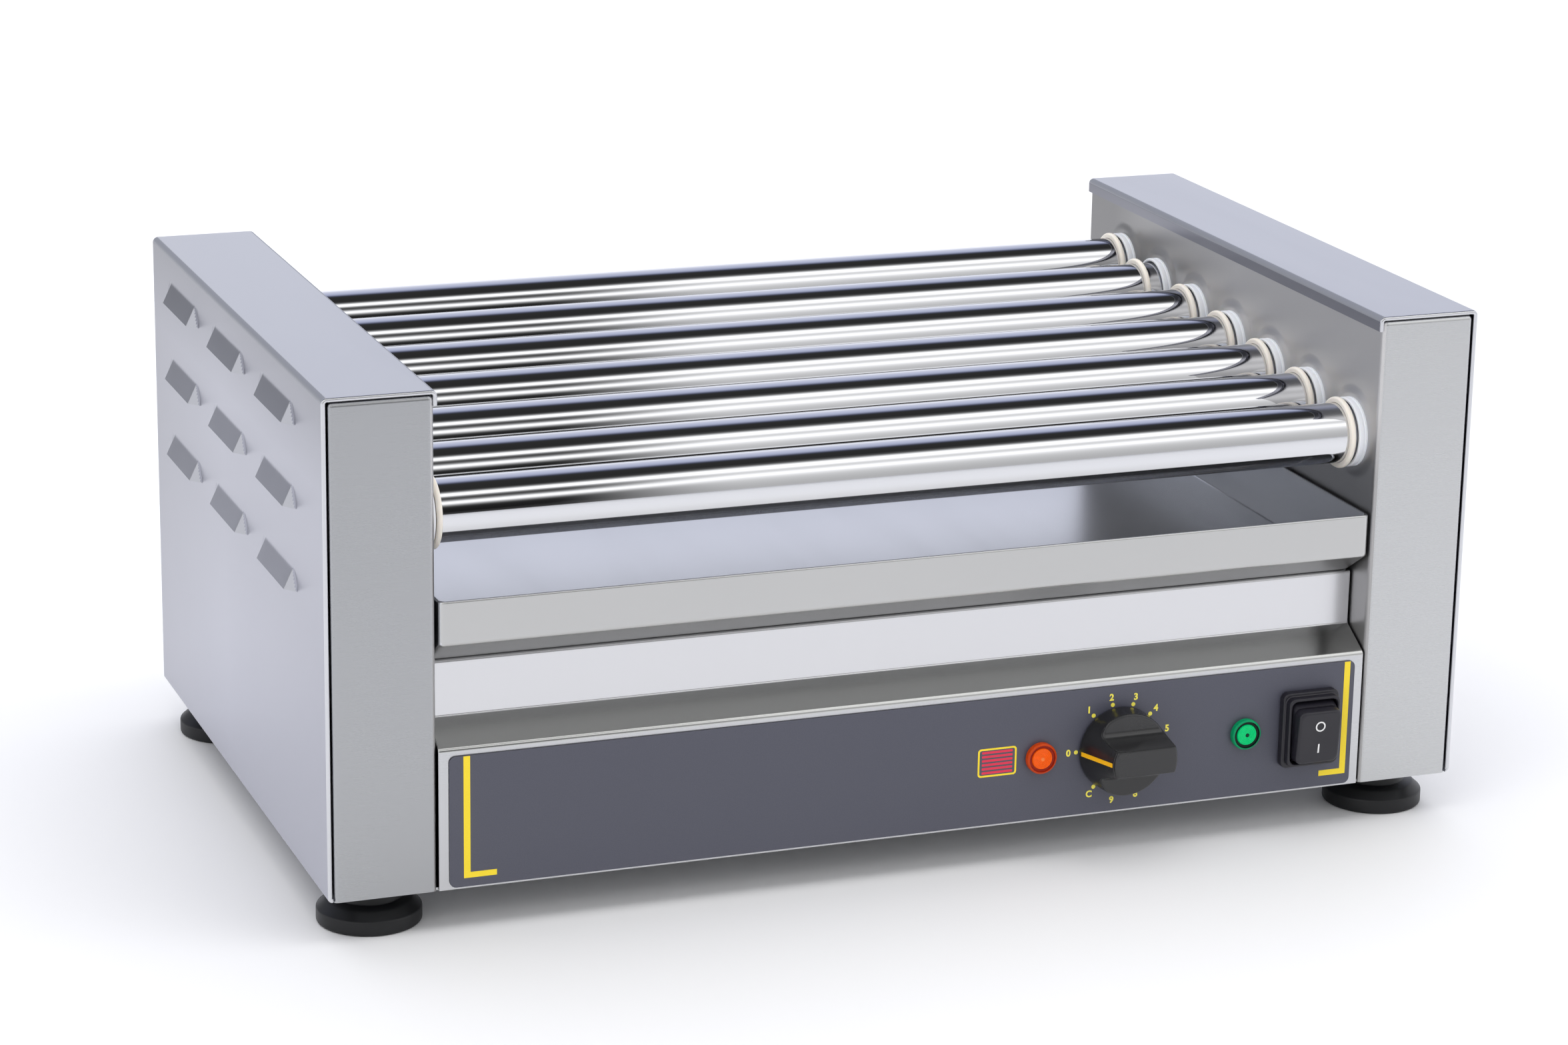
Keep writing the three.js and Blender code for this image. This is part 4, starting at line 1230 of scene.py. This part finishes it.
body = [
    (-128.0, 12.6, 16.2, 1.0), (-162.0, 12.6, 16.2, 1.0), (-162.0, 14.2, 18.1, 2.2), (-161.42, 14.2, 18.1, 2.2),
]
loops = [rect_loop(-128.0, 12.6, 16.2, 1.0), rect_loop(-161.4, 12.6, 16.2, 1.0), rect_loop(-161.4, 14.1, 18.0, 3.0)]
for y0, y1, hw, hh, cr in ((-161.4, -165.4, 14.3, 18.2, 3.2), (-165.4, -169.4, 13.1, 16.6, 3.2)):
    e = 0.8
    if y0 < -165:
        loops += [rect_loop(y0, hw + 0.35, hh + 0.35, cr + 0.3), rect_loop(y0 - 0.35, hw, hh, cr)]
    else:
        loops += [rect_loop(y0 - 0.3, hw, hh, cr)]
    for k in range(0, 6):
        a = math.pi / 2 * k / 5
        loops.append(rect_loop(y1 + e - e * math.sin(a), hw - e + e * math.cos(a), hh - e + e * math.cos(a), cr))
loops += [rect_loop(-169.4, 12.0, 15.5, 3.0), rect_loop(-169.1, 11.65, 15.15, 2.8), rect_loop(-164.6, 11.5, 15.0, 2.8), rect_loop(-156.2, 11.5, 15.0, 2.8)]
boot = rings("switch_boot", loops)
smooth(boot, 30)
paint(boot, BOOT)
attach(boot, "casing")
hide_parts("switch_body")

TILT, PIVOT_Y = math.radians(5.5), -163.0


def rocker_point(x, y, h):
    return (x, PIVOT_Y + y * math.cos(TILT) - h * math.sin(TILT), sz_ + y * math.sin(TILT) + h * math.cos(TILT))


def rocker_loop(y, hw, hh, r, dish=0.0, steps=6):
    out = []
    for p in round_rect(sx_, 0, hw, hh, r, steps):
        out.append(rocker_point(p[0], y + dish * (1 - (p[1] / 13.0) ** 2), p[1]))
    return out


def rocker_mesh():
    loops = [rocker_loop(3, 10.6, 11.6, 1.2), rocker_loop(-2, 10.8, 12.3, 2.4), rocker_loop(-7.6, 11.0, 13.3, 3.2)]
    loops += [rocker_loop(-8.4, 11.0, 13.3, 3.4)]
    e = 1.5
    for k in range(1, 7):
        a = math.pi / 2 * k / 6
        loops.append(rocker_loop(-12 + e - e * math.sin(a), 11.0 - e + e * math.cos(a), 13.1 - e + e * math.cos(a), 3.4))
    for f in (0.82, 0.62, 0.42, 0.22):
        loops.append(rocker_loop(-12.0, 9.5 * f, 11.6 * f, max(3.0 * f, 0.5), dish=0.45 * (1 - f)))
    return rings("rocker", loops)


rocker = rocker_mesh()
smooth(rocker, 34)
paint(rocker, BOOT)
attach(rocker, "rocker")
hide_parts("switch_rocker")

# the rubber between the frame and the rocker
loops = []
N = 8
for k in range(N + 1):
    t = k / N
    a, b = rect_loop(-164.7, 11.45, 14.95, 2.8), rocker_loop(-6.6, 11.08, 13.25, 3.2)
    bulge = 0.0
    loops.append([tuple(p + (q - p) * (t**1.4 if c != 1 else t) for c, (p, q) in enumerate(zip(u, v))) for u, v in zip(a, b)])
inner = []
for l in loops[::-1]:
    c = (sx_, 0, sz_)
    inner.append([(c[0] + (p[0] - c[0]) * 0.955, p[1] + 0.35, c[2] + (p[2] - c[2]) * 0.965) for p in l])
fold = rings("switch_bellows", loops + inner + [loops[0]], cap_start=False, cap_end=False)
smooth(fold, 50)
paint(fold, BOOT)
applied(fold)
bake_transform(fold)

# the two generic on and off marks
n = 48


def rocker_ring(cz, ro, ri):
    outer = [rocker_point(sx_ + ro * math.cos(a), -11.9, cz + ro * math.sin(a)) for a in np.linspace(0, 2 * math.pi, n + 1)[:-1]]
    inner = [rocker_point(sx_ + ri * math.cos(a), -11.9, cz + ri * math.sin(a)) for a in np.linspace(0, 2 * math.pi, n + 1)[:-1]]
    verts = outer + inner + [(p[0], p[1] - 0.16, p[2]) for p in outer] + [(p[0], p[1] - 0.16, p[2]) for p in inner]
    faces = []
    for k in range(n):
        k2 = (k + 1) % n
        faces += [(k, k2, n + k2, n + k), (2 * n + k, 3 * n + k, 3 * n + k2, 2 * n + k2)]
        faces += [(k, 2 * n + k, 2 * n + k2, k2), (n + k, n + k2, 3 * n + k2, 3 * n + k)]
    return mesh("ink", verts, faces)


def rocker_bar(cz, hw, hh):
    pts = [rocker_point(sx_ + a * hw, -11.9, cz + b * hh) for a, b in ((-1, -1), (1, -1), (1, 1), (-1, 1))]
    verts = pts + [(p[0], p[1] - 0.16, p[2]) for p in pts]
    return mesh("ink", verts, [(3, 2, 1, 0), (4, 5, 6, 7), (0, 1, 5, 4), (1, 2, 6, 5), (2, 3, 7, 6), (3, 0, 4, 7)])


white = join("switch_marks", rocker_ring(5.6, 2.5, 1.85), rocker_bar(-5.4, 0.38, 2.2))
paint(white, WHITE)
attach(white, "rocker")

# --------------------------------------------------------------------------
# rear: wall, deck and cable gland

prof = [(4, 148), (6.6, 148), (7, 148.4), (7, 160.5), (10.6, 160.5), (11, 160.9), (11, 165.1), (10.6, 165.5), (9.2, 166.2)]
prof += [(9, 166.8), (8.9, 175.4), (8.5, 176.3), (7.4, 183.8), (6.8, 184.6), (4.2, 184.6), (4, 184.3)]
gland = lathe("gland", prof, "y", (170, 45), 64, closed=True)
hexagon = [(170 + 12.4 * math.cos(math.radians(60 * k + 30)), 45 + 12.4 * math.sin(math.radians(60 * k + 30))) for k in range(6)]
nut = prism("gland_nut", hexagon, "y", 160.8, 164.6)
cut(nut, lathe("c", [(0, 150), (10.8, 150), (10.8, 170), (0, 170)], "y", (170, 45), 48))
ridge = []
for k in range(16):
    a = 2 * math.pi * k / 16
    ridge.append(prism("rib", [(170 + r * math.cos(a + d), 45 + r * math.sin(a + d)) for r, d in ((8.6, -0.06), (9.7, -0.05), (9.7, 0.05), (8.6, 0.06))], "y", 167.4, 174.6))
smooth(gland, 34)
smooth(nut, 30, bevel=0.3, angle=40)
gland = join("gland", gland, nut, *ridge)
paint(gland, BLACK)
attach(gland, "casing")
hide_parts("cable_gland")

for name in ("rear_panel", "base_pan", "heater_bracket_left", "heater_bracket_right", "gear_motor", "energy_regulator", "drive_sprocket"):
    o = nodes[name]
    if name == "rear_panel":
        o.data.materials.clear()
        o.data.materials.append(STEEL_X)
    o.data.shade_smooth()
    b = o.modifiers.new("bevel", "BEVEL")
    b.width, b.segments, b.limit_method, b.angle_limit = 0.3 * MM, 2, "ANGLE", math.radians(40)
    w = o.modifiers.new("normals", "WEIGHTED_NORMAL")
    w.keep_sharp = True


def screw(name, at, axis, sign, body="casing"):
    """A small pan-head screw with a cross recess. at is where its head meets the sheet."""
    prof = [(0.01, 0.0), (3.3, 0.0), (3.6, 0.3), (3.55, 0.9), (3.1, 1.6), (2.2, 2.1), (0.01, 2.3)]
    k = {"y": 1, "x": 0, "z": 2}[axis]
    centre = [at[c] for c in range(3) if c != k]
    ob = lathe(name, [(r, at[k] + sign * h) for r, h in prof], axis, centre, 40)
    arms = []
    for hw, hh in ((1.9, 0.42), (0.42, 1.9)):
        pts = [(centre[0] + a * hw, centre[1] + b * hh) for a, b in ((-1, -1), (1, -1), (1, 1), (-1, 1))]
        lo, hi = sorted((at[k] + sign * 1.1, at[k] + sign * 4))
        arms.append(prism("arm", pts, axis, lo, hi))
    cut(ob, *arms)
    smooth(ob, 30)
    paint(ob, ZINC)
    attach(ob, body)
    return ob


for k, (x, z) in enumerate(((-210, 32), (210, 32), (-210, 140), (210, 140), (0, 32), (0, 140))):
    screw(f"rear_screw_{k + 1}", (x, HALF_D, z), "y", 1)
for side, sx in (("left", -1), ("right", 1)):
    for k, z in enumerate((40, 215)):
        screw(f"housing_screw_{side}_{k + 1}", (sx * 246.5, HALF_D, z), "y", 1)

# --------------------------------------------------------------------------
# floor, world, lights

floor_me = bpy.data.meshes.new("floor")
S = 9.0
floor_me.from_pydata([(-S, -S, 0), (S, -S, 0), (S, S, 0), (-S, S, 0)], [], [(0, 1, 2, 3)])
floor = link("floor", floor_me)
fm = Mat("floor_pale", (0.93, 0.93, 0.94), 0.6, 0.0)
ff = fm.noise((3, 3, 3), 2.0, 0.5)
fm.to(fm.tint(ff, (0.925, 0.925, 0.935), (0.935, 0.935, 0.945)), "Base Color")
floor.data.materials.append(fm.m)

world = bpy.data.worlds.new("studio")
scene.world = world
world.use_nodes = True
wt = world.node_tree
wt.nodes.clear()


def wnode(kind, **props):
    n = wt.nodes.new(kind)
    for k, v in props.items():
        setattr(n, k, v)
    return n


def wmath(op, a, b=None):
    n = wnode("ShaderNodeMath", operation=op)
    for k, x in enumerate((a, b)):
        if x is None:
            continue
        if isinstance(x, (int, float)):
            n.inputs[k].default_value = x
        else:
            wt.links.new(x, n.inputs[k])
    return n.outputs[0]


tc = wnode("ShaderNodeTexCoord")
sep = wnode("ShaderNodeSeparateXYZ")
wt.links.new(tc.outputs["Generated"], sep.inputs[0])
front = wmath("MULTIPLY", sep.outputs["Y"], -1.0)
ang = wmath("ARCTAN2", sep.outputs["Z"], front)
pos = wmath("ADD", wmath("MULTIPLY", ang, 1 / (2 * math.pi)), 0.5)


def ramp_of(stops):
    """Studio brightness by the angle from the front horizon, in degrees: (angle, r, g, b)."""
    r = wnode("ShaderNodeValToRGB")
    r.color_ramp.interpolation = "LINEAR"
    els = r.color_ramp.elements
    while len(els) < len(stops):
        els.new(0.5)
    for e, (d, *c) in zip(els, stops):
        e.position = (d + 180) / 360
        c = c * 3 if len(c) == 1 else c
        e.color = (*c, 1)
    wt.links.new(pos, r.inputs["Fac"])
    return r.outputs["Color"]


REAR = [
    (93, 0.032), (111, 0.036), (117, 0.06, 0.065, 0.09), (123, 0.24, 0.26, 0.38), (129, 0.48, 0.52, 0.70), (136, 0.60, 0.64, 0.84),
    (146, 0.70, 0.74, 0.92), (158, 0.86, 0.88, 1.0), (166, 1.05, 1.08, 1.2), (180, 1.15, 1.18, 1.3),
]
main_sky = ramp_of([
    (-180, 0.9), (-2, 0.64), (5, 0.62), (14, 0.68), (22, 0.76), (29, 0.88), (36, 1.15), (41, 1.55), (46, 1.6), (51, 1.15),
    (56, 0.9), (61, 1.15), (66, 1.8), (72, 1.9), (76, 1.2), (80, 0.5), (85, 0.10),
] + REAR)
dark_sky = ramp_of([
    (-180, 0.9), (-5, 0.45), (0, 0.06), (8, 0.014), (20, 0.022), (25, 0.07), (30, 0.4), (35, 1.2), (39, 1.9), (43, 1.1), (48, 0.3),
    (53, 0.08), (57, 0.12), (61, 0.5), (66, 1.7), (71, 1.9), (75, 0.8), (80, 0.16), (85, 0.035),
] + REAR)
centre_sky = ramp_of([
    (-180, 0.9), (-2, 0.64), (14, 0.66), (36, 0.95), (58, 0.9), (78, 0.5), (100, 0.44), (117, 0.48, 0.49, 0.52),
    (136, 0.62, 0.64, 0.72), (158, 0.86, 0.88, 0.96), (180, 1.15, 1.17, 1.25),
])
# darker where the view along X is short, as by the dark flag beside the lamps
absx = wmath("ABSOLUTE", sep.outputs["X"])
flag = wnode("ShaderNodeMapRange")
flag.interpolation_type = "SMOOTHSTEP"
flag.inputs["From Min"].default_value = 0.290
flag.inputs["From Max"].default_value = 0.335
wt.links.new(absx, flag.inputs["Value"])
sky = wnode("ShaderNodeMix", data_type="RGBA")
wt.links.new(flag.outputs["Result"], sky.inputs[0])
wt.links.new(dark_sky, sky.inputs[6])
wt.links.new(main_sky, sky.inputs[7])
middle = wnode("ShaderNodeMapRange")
middle.interpolation_type = "SMOOTHSTEP"
middle.inputs["From Min"].default_value = 0.15
middle.inputs["From Max"].default_value = 0.225
wt.links.new(absx, middle.inputs["Value"])
whole = wnode("ShaderNodeMix", data_type="RGBA")
wt.links.new(middle.outputs["Result"], whole.inputs[0])
wt.links.new(centre_sky, whole.inputs[6])
wt.links.new(sky.outputs[2], whole.inputs[7])
# a dim corner behind and to the left, low down
corner = wnode("ShaderNodeMapRange")
corner.interpolation_type = "SMOOTHSTEP"
corner.inputs["From Min"].default_value = -0.12
corner.inputs["From Max"].default_value = -0.26
wt.links.new(sep.outputs["X"], corner.inputs["Value"])
low = wnode("ShaderNodeMapRange")
low.interpolation_type = "SMOOTHSTEP"
low.inputs["From Min"].default_value = 0.55
low.inputs["From Max"].default_value = 0.38
wt.links.new(sep.outputs["Z"], low.inputs["Value"])
back = wnode("ShaderNodeMapRange")
back.interpolation_type = "SMOOTHSTEP"
back.inputs["From Min"].default_value = 0.2
back.inputs["From Max"].default_value = 0.5
wt.links.new(sep.outputs["Y"], back.inputs["Value"])
dim = wnode("ShaderNodeMix", data_type="RGBA")
wt.links.new(wmath("MULTIPLY", wmath("MULTIPLY", corner.outputs["Result"], low.outputs["Result"]), back.outputs["Result"]), dim.inputs[0])
wt.links.new(whole.outputs[2], dim.inputs[6])
dim.inputs[7].default_value = (0.36, 0.37, 0.395, 1)
# the bands run along X and fade out towards both ends of the studio
fade = wnode("ShaderNodeMapRange")
fade.inputs["From Min"].default_value = 0.66
fade.inputs["From Max"].default_value = 0.86
fade.interpolation_type = "SMOOTHSTEP"
wt.links.new(absx, fade.inputs["Value"])
mix = wnode("ShaderNodeMix", data_type="RGBA")
wt.links.new(fade.outputs["Result"], mix.inputs[0])
wt.links.new(dim.outputs[2], mix.inputs[6])
mix.inputs[7].default_value = (1.0, 1.01, 1.06, 1)
lp = wnode("ShaderNodeLightPath")
cam_mix = wnode("ShaderNodeMix", data_type="RGBA")
wt.links.new(lp.outputs["Is Camera Ray"], cam_mix.inputs[0])
wt.links.new(mix.outputs[2], cam_mix.inputs[6])
cam_mix.inputs[7].default_value = (1, 1, 1, 1)
bg = wnode("ShaderNodeBackground")
wt.links.new(cam_mix.outputs[2], bg.inputs["Color"])
out = wnode("ShaderNodeOutputWorld")
wt.links.new(bg.outputs[0], out.inputs[0])


def area(name, loc, target, size, watts, colour=(1, 1, 1), reflect=False):
    li = bpy.data.lights.new(name, "AREA")
    li.shape = "RECTANGLE"
    li.size, li.size_y = size
    li.energy = watts
    li.color = colour
    ob = bpy.data.objects.new(name, li)
    scene.collection.objects.link(ob)
    ob.location = loc
    ob.rotation_euler = (Vector(target) - Vector(loc)).to_track_quat("-Z", "Y").to_euler()
    ob.visible_camera = False
    ob.visible_glossy = reflect
    return ob


area("fill_top", (0, 0.7, 3.2), (0, 0.7, 0), (5.0, 5.0), 108)

scene.view_settings.view_transform = "Standard"
scene.view_settings.look = "None"
scene.view_settings.exposure = 0.0
scene.view_settings.gamma = 1.0
